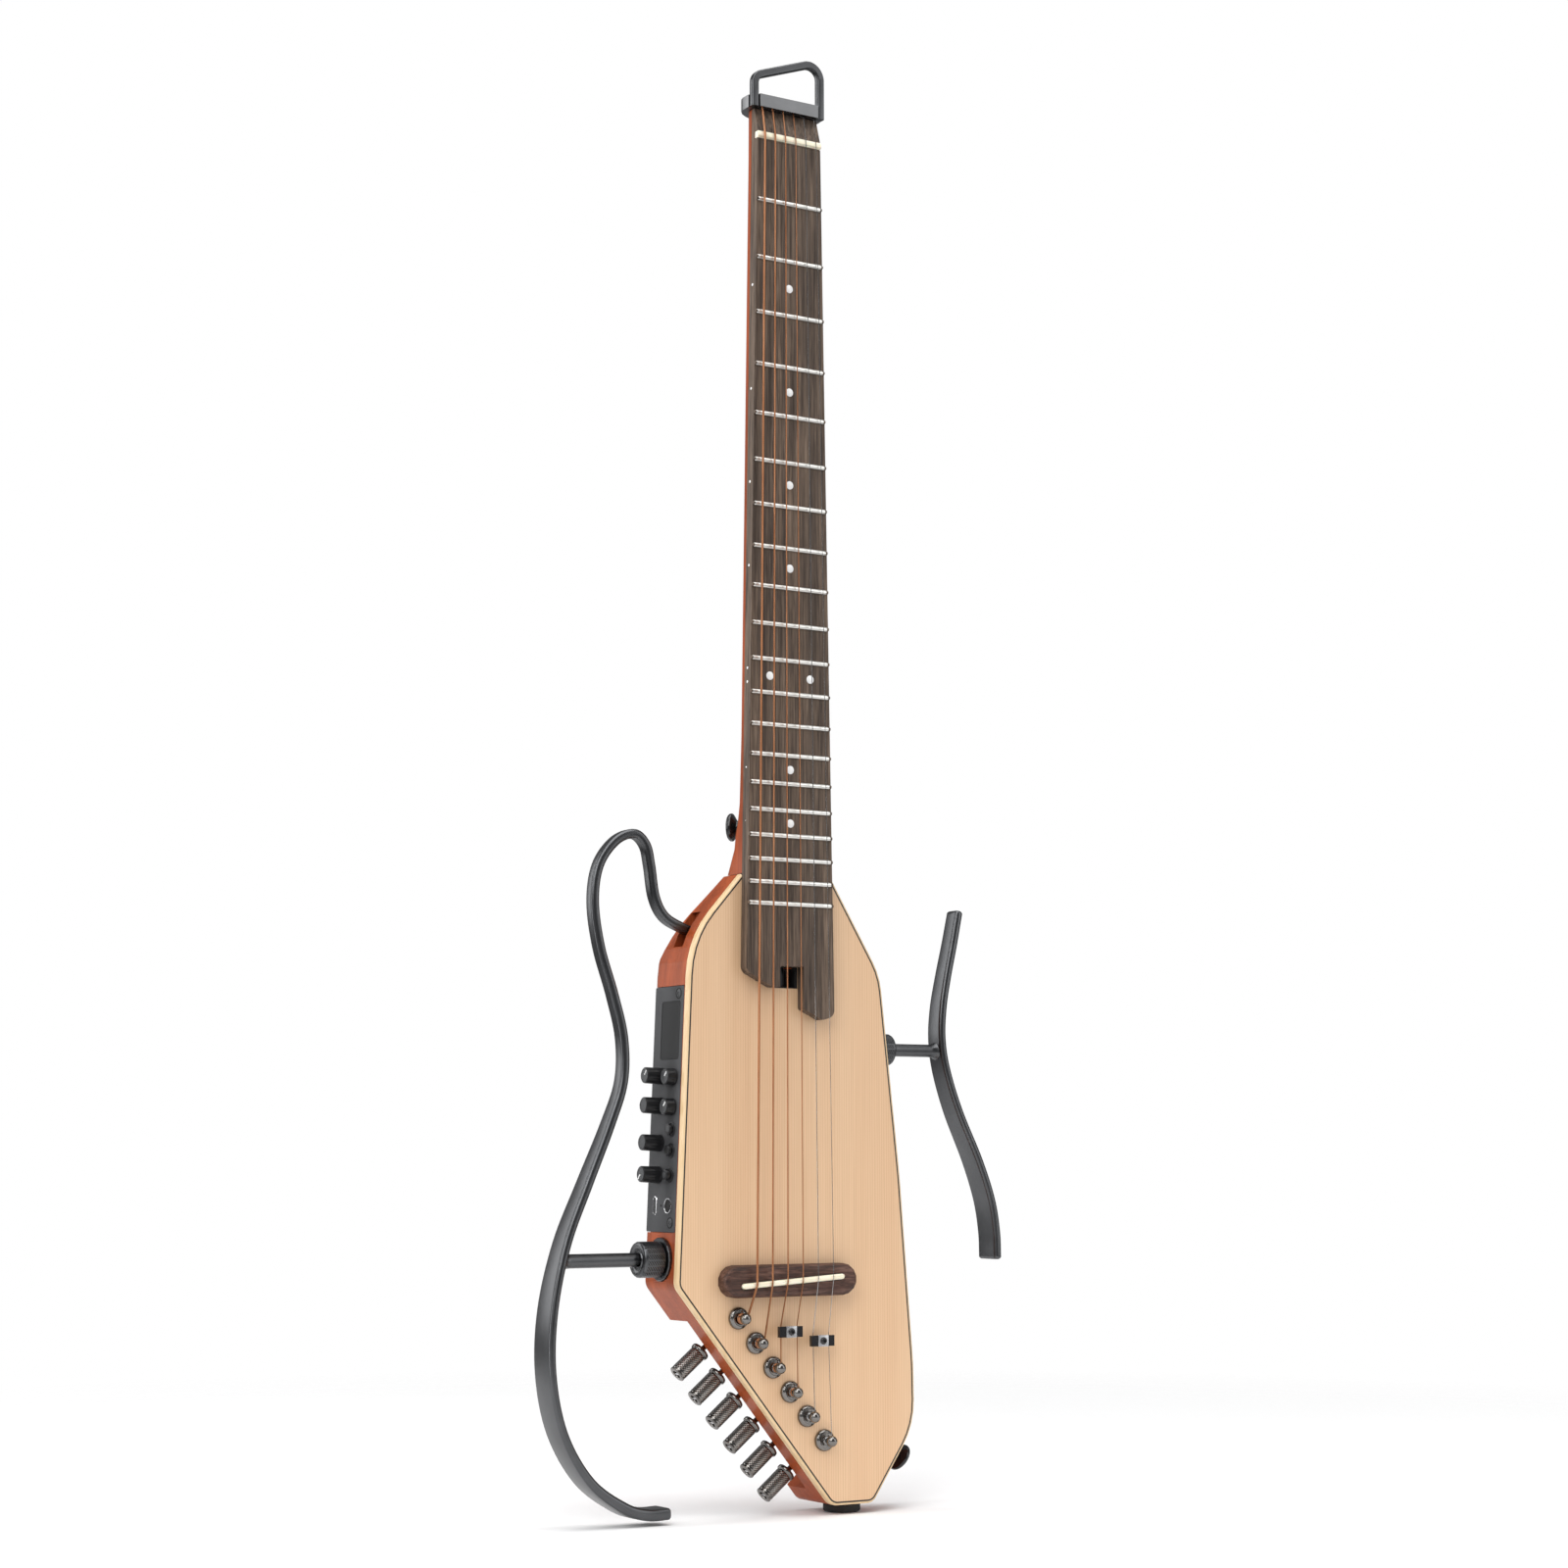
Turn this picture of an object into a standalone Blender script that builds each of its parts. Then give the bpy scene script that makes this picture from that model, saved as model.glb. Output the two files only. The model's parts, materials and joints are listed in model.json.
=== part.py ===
"""Headless travel guitar with two bolt-on outline frames, worm-geared tuners and side electronics.

Built in millimetres and turned into metres when each object is made. The strings' plane of
symmetry is X = 0, the front faces -Y, and Z runs up the neck. The origin is on the flat back,
level with the end of the string scale, so the nut stands SCALE_LENGTH above it.
"""
import math

import bmesh
import bpy
from mathutils import Matrix, Vector

MM = 0.001
TOUCH_GAP = 0.3          # between pieces that touch
RUNNING_GAP = 0.06       # radial, between a shaft and its bearing
ARC_STEP = math.radians(8)

# Scale and fretboard
SCALE_LENGTH = 650.0
FRET_COUNT = 20
NUT_WIDTH = 43.0
LAST_FRET_WIDTH = 56.5
FRETBOARD_THICKNESS = 6.7
FRET_WIDTH = 2.2
FRET_HEIGHT = 1.0
NUT_THICKNESS = 4.0
NUT_RISE = 1.2
NUT_SLOT_DEPTH = 3.0
HEAD_LENGTH = 18.7       # wood above the nut's front edge
HEAD_SLOPE = math.radians(16)
LEFT_TONGUE_Z = 157.5
RIGHT_TONGUE_Z = 140.2
NOTCH_TOP_Z = 169.5
NOTCH_HALF_WIDTH = 7.6

# Body
BODY_THICKNESS = 38.0
SOUNDBOARD_THICKNESS = 3.0
BINDING_WIDTH = 2.3
BINDING_DEPTH = 4.3
BACK_EDGE_ROUND = 2.0
# Corners (x, z, radius) from the neck joint down the left side, along the tail and up the right
OUTLINE = (
    (-28.3, 221.2, 0.0), (-61.1, 183.9, 58.0), (-69.3, -8.8, 8.3), (30.9, -132.6, 8.3),
    (59.0, -132.6, 7.3), (87.7, -90.2, 45.0), (87.1, -54.9, 152.0), (78.5, 51.2, 602.0),
    (65.4, 166.8, 42.0), (28.6, 227.1, 0.0),
)
LEFT_SIDE_TOP, LEFT_SIDE_BOTTOM, TUNER_EDGE_END = OUTLINE[1:4]
COVE = ((171.0, 0.0), (189.0, -12.5), (224.0, -19.0))   # (z, y) of the heel's curve
HOOK_RECESS = ((-75.0, -24.5, 180.0), (-44.0, -14.4, 200.0))

# Neck
NECK_DEPTH_AT_HEAD = 14.0
NECK_DEPTH_AT_HEEL = 15.0
HEEL_START_Z = 262.0
TENON_BOTTOM_Z = 169.0
TENON_HALF_WIDTH = 20.0
TENON_DEPTH = 10.0
TRUSS_DEPTH = 6.0        # rod centre behind the neck's front
TRUSS_ROD_RADIUS = 2.6
TRUSS_NUT_RADIUS = 3.6
TRUSS_NUT_LENGTH = 8.0
TRUSS_TOP_Z = SCALE_LENGTH - 10.0

# Head clamp and loop
CLAMP_HEIGHT = 7.5
CLAMP_MID_DEPTH = 4.0    # behind the soundboard's front
CLAMP_BACK = 12.7
LOOP_BAR = 4.5
LOOP_RISE = 4.9          # in front of the soundboard
STRING_ANCHOR_RISE = 5.5
LOOP_HALF_SPAN = 22.4
LOOP_LEFT_RISE = 18.8     # above the wood's end
LOOP_RIGHT_RISE = 35.3

# Bridge and saddle
BRIDGE_LENGTH = 87.4
BRIDGE_WIDTH = 18.0
BRIDGE_HEIGHT = 8.7
BRIDGE_CENTRE_Z = -6.3
SADDLE_LENGTH = 67.0
SADDLE_THICKNESS = 3.0
SADDLE_RISE = 2.0        # above the bridge
SADDLE_SLOT_DEPTH = 5.0
SADDLE_CENTRE_Z = -6.7
SADDLE_SLANT = math.radians(3.76)

# Strings
STRING_RADII = (0.67, 0.53, 0.41, 0.31, 0.22, 0.18)
STRING_SPREAD_AT_NUT = 35.2
STRING_SPREAD_AT_SADDLE = 50.4
STRING_REST = 0.32       # clear of the nut and saddle they bear on

# Tuners
TUNER_COUNT = 6
FIRST_POST_ALONG = 38.2  # from the upper end of the tuners' edge
POST_INSET = 18.9        # from that edge
POST_SPACING = 17.83
TUNER_POCKET = (-13.0, 20.9, -10.0)   # before the first post, past the last, and depth inwards
GEAR_MODULE = 0.6
WHEEL_TEETH = 15
WHEEL_WIDTH = 4.0
WORM_PITCH_RADIUS = 3.0
WORM_TURNS = 2
GEAR_ADDENDUM = 0.6
GEAR_DEDENDUM = 0.75
TOOTH_THICKNESS = 0.75
PRESSURE_ANGLE = math.radians(20)
POST_RADIUS = 2.5
POST_SIDES = 10
POST_WAIST_RADIUS = 1.7
POST_BALL_RADIUS = 3.1
POST_BALL_RISE = 8.5     # ball centre above the soundboard
BUSHING_RADIUS = 6.1
BUSHING_RISE = 2.9
BARREL_RADIUS = 4.0
LEDGE_THICKNESS = 13.3   # wood left under the soundboard over the tuners
HOUSING_PLATE = 1.2
WORM_SHAFT_RADIUS = 1.5
LUG_REACH = (5.2, 7.4)   # inner and outer face of each bearing lug along the worm
KNOB_START = 20.0        # from the post's axis, along the worm
KNOB_LENGTH = 20.2
KNOB_RADIUS = 4.7
KNOB_COLLAR_RADIUS = 5.5

# Control panel
PANEL_TOP_Z = 157.6
PANEL_BOTTOM_Z = 21.0
PANEL_WIDTH = 32.3
PANEL_MID_Y = -16.65
PANEL_THICKNESS = 2.6
CAVITY_X = (-52.0, -20.0)
COVER_X = (-57.0, -16.0)
COVER_Z = (36.0, 150.0)
COVER_THICKNESS = 1.8
DISPLAY_SIZE = (20.2, 32.0)
DISPLAY_CENTRE = (-18.9, 133.0)
BACK_ROW_Y = -12.5
FRONT_ROW_Y = -25.0
DIAL_RADIUS = 4.6
LONG_DIAL = 12.0
SHORT_DIAL = 6.2
DIAL_SHAFT_RADIUS = 2.0
DIALS = (                # y, z, length
    (BACK_ROW_Y, 107.4, LONG_DIAL), (BACK_ROW_Y, 90.8, LONG_DIAL), (BACK_ROW_Y, 70.1, LONG_DIAL),
    (BACK_ROW_Y, 52.5, LONG_DIAL), (FRONT_ROW_Y, 106.8, SHORT_DIAL), (FRONT_ROW_Y, 90.1, SHORT_DIAL),
)
BUTTONS = (              # z, cap radius, rise above the panel
    (77.7, 3.0, 2.9), (65.9, 3.1, 3.1), (52.4, 3.2, 3.9),
)
BUTTON_STEM_RADIUS = 1.8
BUTTON_TRAVEL = 1.0
SOCKET_Z = 35.5
USB_Y = -9.2
USB_SIZE = (3.2, 9.2)
JACK_Y = -24.6
JACK_RADIUS = 3.9
JACK_HOLE_RADIUS = 1.8
BOARD_THICKNESS = 1.6
BOARD_GAP = 5.0          # from the panel's back to the board
BATTERY_SIZE = (19.0, 12.0, 60.0)

# Frames
FRAME_AXIS_Y = -19.0
ROUND_SIDES = 18
LEFT_STRUT_Z = 6.0
RIGHT_STRUT_Z = 124.5
STRUT_RADIUS = 3.9
RIGHT_STRUT_RADIUS = 3.7
RING_RADIUS = 12.1
RING_THICKNESS = 2.2
STUD_RADIUS = 6.4
STUD_LENGTH = 7.7
BARREL_DEPTH = 12.3      # of each socket inside the body
SOCKET_BARREL_RADIUS = 7.0
COLLAR_RADIUS = 10.0
COLLAR_LENGTH = 13.4
LEFT_SEAT_X = -68.0      # flat face cut for each socket
RIGHT_RING_RADIUS = 10.0
RIGHT_RING_THICKNESS = 1.6
RIGHT_COLLAR_RADIUS = 9.3
RIGHT_COLLAR_LENGTH = 12.0
RIGHT_SEAT_X = 69.0
# Centre line (x, z) of each bar, with its width across and its depth front to back.
LEFT_BAR = (
    (-48.5, 188.3, 5.3, 8.0), (-57.0, 191.0, 5.3, 8.2), (-68.0, 196.7, 5.3, 8.2),
    (-74.3, 207.5, 5.3, 8.2), (-77.3, 225.0, 5.3, 8.2), (-80.3, 236.5, 5.3, 8.2),
    (-87.8, 242.3, 5.3, 8.2), (-99.6, 237.6, 5.3, 8.2), (-109.9, 223.5, 5.3, 8.2),
    (-112.9, 203.0, 5.3, 8.4), (-109.0, 178.0, 5.3, 8.6), (-100.5, 152.0, 5.3, 8.8),
    (-94.4, 128.0, 5.3, 9.2), (-94.6, 104.0, 5.3, 10.0), (-103.0, 80.0, 5.3, 11.5),
    (-117.0, 48.0, 5.2, 14.0), (-130.7, 15.5, 5.0, 16.5), (-139.0, -20.0, 4.6, 19.5),
    (-140.0, -54.0, 4.4, 20.5), (-132.8, -86.0, 4.6, 20.5), (-116.5, -112.0, 5.2, 20.0),
    (-95.5, -127.0, 6.0, 19.0), (-80.5, -131.8, 6.4, 18.0), (-66.5, -131.9, 6.4, 18.0),
)
RIGHT_BAR = (
    (131.6, 208.0, 5.2, 11.5), (127.2, 188.0, 5.2, 12.0), (122.4, 168.0, 5.1, 12.6),
    (118.9, 150.0, 5.0, 13.4), (117.8, 132.0, 4.8, 14.2), (120.6, 113.5, 4.8, 15.2),
    (129.0, 89.0, 4.8, 16.4), (142.6, 60.0, 4.9, 17.6), (151.0, 37.0, 5.0, 18.2),
    (154.4, 18.0, 5.1, 18.2), (155.0, 2.0, 5.1, 18.2),
)

# Small parts
STRAP_BUTTON_RADIUS = 8.0
STRAP_BUTTON_HEIGHT = 13.0
UPPER_STRAP_Z = 250.0
UPPER_STRAP_TILT = math.radians(45)
UPPER_STRAP_SEAT = 19.9   # from the middle of the neck's front to the button's seat
LOWER_STRAP_FRACTION = 0.68   # along the lower right edge from the tail
STRAP_Y = -21.0
FOOT_X = 48.2
FOOT_RADIUS = 10.6
FOOT_HEIGHT = 5.0
RETAINERS = ((-0.42, -34.6), (-0.39, -40.2))   # x from the middle of its two strings, and z
RETAINER_SIZE = (15.0, 2.4, 6.0)
RETAINED_STRING_RISE = 4.5

# Planes that follow from the sizes above
SOUNDBOARD_Y = -BODY_THICKNESS
FRETBOARD_Y = SOUNDBOARD_Y - FRETBOARD_THICKNESS - TOUCH_GAP
NUT_Z = SCALE_LENGTH
HEAD_Z = NUT_Z + HEAD_LENGTH
BRIDGE_Y = SOUNDBOARD_Y - TOUCH_GAP - BRIDGE_HEIGHT
LEDGE_Y = SOUNDBOARD_Y + SOUNDBOARD_THICKNESS + TOUCH_GAP + LEDGE_THICKNESS
WHEEL_PITCH_RADIUS = GEAR_MODULE * WHEEL_TEETH / 2
WORM_OFFSET = WHEEL_PITCH_RADIUS + WORM_PITCH_RADIUS
WORM_PITCH = math.pi * GEAR_MODULE
PLATE_Y = LEDGE_Y + TOUCH_GAP + HOUSING_PLATE
WORM_Y = PLATE_Y + TOUCH_GAP + WORM_PITCH_RADIUS + GEAR_ADDENDUM
TRUSS_Y = SOUNDBOARD_Y + TRUSS_DEPTH
NUT_Y = FRETBOARD_Y - NUT_RISE
CLAMP_MID_Y = SOUNDBOARD_Y + CLAMP_MID_DEPTH
LOOP_Y = SOUNDBOARD_Y - LOOP_RISE
STRING_ANCHOR_Y = SOUNDBOARD_Y - STRING_ANCHOR_RISE
RETAINED_STRING_Y = SOUNDBOARD_Y - RETAINED_STRING_RISE
SADDLE_Y = BRIDGE_Y - SADDLE_RISE
X_AXIS = Vector((1, 0, 0))
Y_AXIS = Vector((0, 1, 0))
Z_AXIS = Vector((0, 0, 1))
EDGE_ANGLE = math.atan2(TUNER_EDGE_END[1] - LEFT_SIDE_BOTTOM[1], TUNER_EDGE_END[0] - LEFT_SIDE_BOTTOM[0])
ALONG_EDGE = Vector((math.cos(EDGE_ANGLE), 0, math.sin(EDGE_ANGLE)))
OUT_OF_EDGE = Y_AXIS.cross(ALONG_EDGE)
FIRST_POST = (
    Vector((LEFT_SIDE_BOTTOM[0], 0, LEFT_SIDE_BOTTOM[1]))
    + ALONG_EDGE * FIRST_POST_ALONG - OUT_OF_EDGE * POST_INSET
)

COLOURS = {              # base colour, roughness, metallic
    "spruce": ((0.78, 0.60, 0.41), 0.45, 0.0),
    "maple": ((0.85, 0.74, 0.55), 0.4, 0.0),
    "mahogany": ((0.42, 0.13, 0.07), 0.4, 0.0),
    "dark_board": ((0.12, 0.09, 0.065), 0.55, 0.0),
    "rosewood": ((0.13, 0.06, 0.04), 0.5, 0.0),
    "bone": ((0.86, 0.82, 0.68), 0.4, 0.0),
    "gunmetal": ((0.09, 0.095, 0.1), 0.42, 0.9),
    "grey_clamp": ((0.3, 0.31, 0.32), 0.38, 0.9),
    "black_nickel": ((0.16, 0.155, 0.15), 0.25, 1.0),
    "steel": ((0.62, 0.62, 0.62), 0.3, 1.0),
    "bronze": ((0.66, 0.36, 0.2), 0.35, 1.0),
    "panel_grey": ((0.06, 0.062, 0.066), 0.55, 0.0),
    "knob_black": ((0.02, 0.02, 0.022), 0.5, 0.0),
    "display_black": ((0.02, 0.022, 0.026), 0.12, 0.0),
    "board_green": ((0.02, 0.16, 0.08), 0.5, 0.0),
    "battery_blue": ((0.05, 0.12, 0.32), 0.45, 0.0),
    "gloss_black": ((0.012, 0.012, 0.013), 0.12, 0.0),
    "rubber": ((0.02, 0.02, 0.02), 0.8, 0.0),
}


# ---------------------------------------------------------------- making objects

def clear_scene():
    for obj in list(bpy.data.objects):
        bpy.data.objects.remove(obj)


def material(name):
    made = bpy.data.materials.get(name)
    if made:
        return made
    colour, roughness, metallic = COLOURS[name]
    made = bpy.data.materials.new(name)
    made.use_nodes = True
    shader = made.node_tree.nodes["Principled BSDF"]
    shader.inputs["Base Color"].default_value = (*colour, 1.0)
    shader.inputs["Roughness"].default_value = roughness
    shader.inputs["Metallic"].default_value = metallic
    return made


def mesh_from(name, points, faces, origin=Vector((0, 0, 0))):
    """A mesh in metres whose points are given in millimetres, measured from origin."""
    mesh = bpy.data.meshes.new(name)
    shape = bmesh.new()
    corners = [shape.verts.new((Vector(p) - origin) * MM) for p in points]
    for face in faces:
        shape.faces.new([corners[i] for i in face])
    bmesh.ops.recalc_face_normals(shape, faces=shape.faces)
    shape.to_mesh(mesh)
    shape.free()
    return mesh


def place(name, mesh, colour, origin=Vector((0, 0, 0)), smooth=True):
    obj = bpy.data.objects.new(name, mesh)
    bpy.context.scene.collection.objects.link(obj)
    obj.location = Vector(origin) * MM
    if not mesh.materials:
        mesh.materials.append(material(colour))
    if smooth:
        mesh.shade_smooth()
        mesh.set_sharp_from_angle(angle=math.radians(30))
    return obj


def solid(name, shape, colour, origin=Vector((0, 0, 0)), smooth=True):
    points, faces = shape
    origin = Vector(origin)
    return place(name, mesh_from(name, points, faces, origin), colour, origin, smooth)


def hidden(name, shape):
    """A closed shape that only cuts or joins another."""
    points, faces = shape
    obj = bpy.data.objects.new(name, mesh_from(name, points, faces))
    bpy.context.scene.collection.objects.link(obj)
    obj.hide_render = True
    obj.display_type = "WIRE"
    return obj


def boolean(obj, operation, name, shape):
    modifier = obj.modifiers.new(name, "BOOLEAN")
    modifier.operation = operation
    modifier.object = hidden(obj.name + "_" + name, shape)
    return obj


def cut(obj, name, shape):
    return boolean(obj, "DIFFERENCE", name, shape)


def join(obj, name, shape):
    return boolean(obj, "UNION", name, shape)


def baked(obj):
    """The object's finished mesh, its modifiers used up and their cutters removed."""
    bpy.context.view_layer.update()
    graph = bpy.context.evaluated_depsgraph_get()
    mesh = bpy.data.meshes.new_from_object(obj.evaluated_get(graph))
    helpers = [modifier.object for modifier in obj.modifiers]
    bpy.data.objects.remove(obj)
    for helper in helpers:
        bpy.data.objects.remove(helper)
    return mesh


# ---------------------------------------------------------------- closed shapes, as (points, faces)

def loft(rings):
    """A closed shape through rings of equal length, capped at both ends."""
    count = len(rings[0])
    points = [p for ring in rings for p in ring]
    faces = []
    for i in range(len(rings) - 1):
        for j in range(count):
            k = (j + 1) % count
            faces.append((i * count + j, i * count + k, (i + 1) * count + k, (i + 1) * count + j))
    faces.append(tuple(range(count)))
    faces.append(tuple(range((len(rings) - 1) * count, len(rings) * count)))
    return points, faces


def prism(outline, near, far):
    """An (x, z) outline between two depths."""
    return loft([[Vector((x, y, z)) for x, z in outline] for y in (near, far)])


def tall_prism(outline, low, high):
    """An (x, y) outline between two heights."""
    return loft([[Vector((x, y, z)) for x, y in outline] for z in (low, high)])


def box(low, high):
    x0, y0, z0 = low
    x1, y1, z1 = high
    return tall_prism([(x0, y0), (x1, y0), (x1, y1), (x0, y1)], z0, z1)


def across(axis):
    """Two unit vectors square to an axis and to each other."""
    axis = Vector(axis).normalized()
    side = axis.cross(Vector((0, 0, 1)) if abs(axis.z) < 0.9 else Vector((1, 0, 0))).normalized()
    return side, axis.cross(side)


def turned(profile, start, axis, segments=16, phase=0.0):
    """A turned shape: profile is (distance along the axis, radius) from one end to the other."""
    axis = Vector(axis).normalized()
    side, up = across(axis)
    angles = [phase + 2 * math.pi * k / segments for k in range(segments)]
    rings = [
        [Vector(start) + axis * along + (side * math.cos(a) + up * math.sin(a)) * radius for a in angles]
        for along, radius in profile
    ]
    return loft(rings)


def rod(start, axis, length, radius, segments=16):
    return turned([(0, radius), (length, radius)], start, axis, segments)


def bearing_radius(shaft_radius, segments):
    """Corner radius of a many-sided hole in which a shaft of this radius turns freely."""
    return (shaft_radius + RUNNING_GAP) / math.cos(math.pi / segments)


def shifted(corners, distance):
    """An open row of (x, z, radius) corners moved to its left by distance, with radii that stay parallel."""
    moved = []
    for i, (x, z, radius) in enumerate(corners):
        before = Vector(corners[i - 1][:2]) if i else None
        after = Vector(corners[i + 1][:2]) if i + 1 < len(corners) else None
        here = Vector((x, z))
        edges = []
        if before is not None:
            edges.append((here - before).normalized())
        if after is not None:
            edges.append((after - here).normalized())
        normals = [Vector((-e.y, e.x)) for e in edges]
        bisector = sum(normals, Vector((0, 0))).normalized()
        point = here + bisector * (distance / bisector.dot(normals[0]))
        moved.append((point.x, point.y, max(radius - distance, 0.0) if radius else 0.0))
    return moved


def rounded(corners):
    """Points along an open row of (x, z, radius) corners, each corner an arc."""
    points = []
    for i, (x, z, radius) in enumerate(corners):
        here = Vector((x, z))
        if not radius or i in (0, len(corners) - 1):
            points.append((x, z))
            continue
        back = (Vector(corners[i - 1][:2]) - here).normalized()
        ahead = (Vector(corners[i + 1][:2]) - here).normalized()
        half = back.angle(ahead) / 2
        tangent = radius / math.tan(half)
        bisector = (back + ahead).normalized()
        centre = here + bisector * (radius / math.sin(half))
        first = here + back * tangent - centre
        last = here + ahead * tangent - centre
        turn = first.angle_signed(last)
        steps = max(2, round(abs(math.pi - 2 * half) / ARC_STEP))
        for step in range(steps + 1):
            angle = -turn * step / steps
            spun = Matrix.Rotation(angle, 2) @ first
            points.append((centre.x + spun.x, centre.y + spun.y))
    return points


def smooth_points(controls, steps):
    """Catmull-Rom points through rows of numbers, with steps between each pair."""
    rows = [Vector(row) for row in controls]
    rows = [rows[0] * 2 - rows[1], *rows, rows[-1] * 2 - rows[-2]]
    found = []
    for i in range(1, len(rows) - 2):
        p0, p1, p2, p3 = rows[i - 1:i + 3]
        for step in range(steps):
            t = step / steps
            found.append(
                0.5 * ((2 * p1) + (p2 - p0) * t + (2 * p0 - 5 * p1 + 4 * p2 - p3) * t ** 2
                       + (3 * p1 - p0 - 3 * p2 + p3) * t ** 3)
            )
    found.append(rows[-2])
    return found


def bent_bar(stations, centre_y, corner=1.2):
    """A bar along (x, z, width, depth) stations at one depth, with its four long edges bevelled."""
    rings = []
    for i, (x, z, width, depth) in enumerate(stations):
        before = stations[max(i - 1, 0)]
        after = stations[min(i + 1, len(stations) - 1)]
        along = Vector((after[0] - before[0], 0, after[1] - before[1])).normalized()
        side = along.cross(Y_AXIS)
        middle = Vector((x, centre_y, z))
        w, d = width / 2, depth / 2
        section = (
            (w, d - corner), (w - corner, d), (corner - w, d), (-w, d - corner),
            (-w, corner - d), (corner - w, -d), (w - corner, -d), (w, corner - d),
        )
        rings.append([middle + side * a + Y_AXIS * b for a, b in section])
    return loft(rings)


def tube(points, radius, segments=8):
    """A round tube along points."""
    rings = []
    for i, point in enumerate(points):
        along = (points[min(i + 1, len(points) - 1)] - points[max(i - 1, 0)]).normalized()
        side = along.cross(Vector((1, 0, 0))).normalized()
        up = along.cross(side)
        rings.append([
            point + (side * math.cos(2 * math.pi * k / segments) + up * math.sin(2 * math.pi * k / segments))
            * radius for k in range(segments)
        ])
    return loft(rings)


def ring(profile, start, axis, segments=16):
    """A turned shape with a hole through it: profile is a closed row of (distance along, radius)."""
    points, _ = turned(profile, start, axis, segments)
    count = len(profile)
    faces = []
    for i in range(count):
        for j in range(segments):
            k = (j + 1) % segments
            n = (i + 1) % count
            faces.append((i * segments + j, i * segments + k, n * segments + k, n * segments + j))
    return points, faces


def moved(shape, matrix):
    points, faces = shape
    return [matrix @ Vector(p) for p in points], faces


def merged(shapes):
    """Separate closed shapes as one cutter."""
    points, faces = [], []
    for more_points, more_faces in shapes:
        start = len(points)
        points += more_points
        faces += [tuple(i + start for i in face) for face in more_faces]
    return points, faces


# ---------------------------------------------------------------- where things are

def neck_half_width(z):
    slope = (LAST_FRET_WIDTH - NUT_WIDTH) / 2 / (SCALE_LENGTH - fret_z(FRET_COUNT))
    return NUT_WIDTH / 2 + (SCALE_LENGTH - z) * slope


def fret_z(number):
    return SCALE_LENGTH * 2 ** (-number / 12)


def joint_z(x):
    """Height of the slanted end of the body at x."""
    (x0, z0, _), (x1, z1, _) = OUTLINE[0], OUTLINE[-1]
    return z0 + (z1 - z0) * (x - x0) / (x1 - x0)


def body_outline(inset):
    return rounded(shifted(OUTLINE, inset))


def post(index):
    return FIRST_POST + ALONG_EDGE * POST_SPACING * index


def tuner_frame(point):
    """Rotation and place of a tuner part: local X runs along the edge and local -Z out of it."""
    return Matrix.Translation(point) @ Matrix.Rotation(-EDGE_ANGLE, 4, "Y")


def side_frame():
    """The left side's own axes: X up along it, Y towards the back, Z outwards, from the panel's foot."""
    low = Vector((LEFT_SIDE_BOTTOM[0], 0, LEFT_SIDE_BOTTOM[1]))
    high = Vector((LEFT_SIDE_TOP[0], 0, LEFT_SIDE_TOP[1]))
    up = (high - low).normalized()
    foot = low + up * ((PANEL_BOTTOM_Z - low.z) / up.z)
    out = up.cross(Y_AXIS)
    return Matrix.Translation(foot) @ Matrix((up, Y_AXIS, out)).transposed().to_4x4()


def side_point(y, z, out=0.0):
    """A point on the left side at this depth and height, moved outwards."""
    frame = side_frame()
    up = frame.col[0].to_3d()
    return frame @ Vector(((z - frame.translation.z) / up.z, y, out))


def side_box(low, high):
    """A box between (z, y, out) corners, square to the left side."""
    frame = side_frame()
    rise = frame.col[0].to_3d().z
    foot = frame.translation.z
    a = ((low[0] - foot) / rise, low[1], low[2])
    b = ((high[0] - foot) / rise, high[1], high[2])
    return moved(box(a, b), frame)


def side_rounded(z0, z1, y0, y1, radius, inner, outer):
    """A rounded plate square to the left side."""
    frame = side_frame()
    rise = frame.col[0].to_3d().z
    foot = frame.translation.z
    a, b = (z0 - foot) / rise, (z1 - foot) / rise
    middle = (a + b) / 2
    outline = rounded([
        (middle, y0, 0), (b, y0, radius), (b, y1, radius), (a, y1, radius), (a, y0, radius), (middle, y0, 0),
    ])[:-1]
    rings = [[Vector((x, y, out)) for x, y in outline] for out in (inner, outer)]
    return moved(loft(rings), frame)


def string_x_at_nut(index):
    return STRING_SPREAD_AT_NUT * (index / 5 - 0.5)


def string_x_at_saddle(index):
    return STRING_SPREAD_AT_SADDLE * (index / 5 - 0.5)


# ---------------------------------------------------------------- wood

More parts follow.
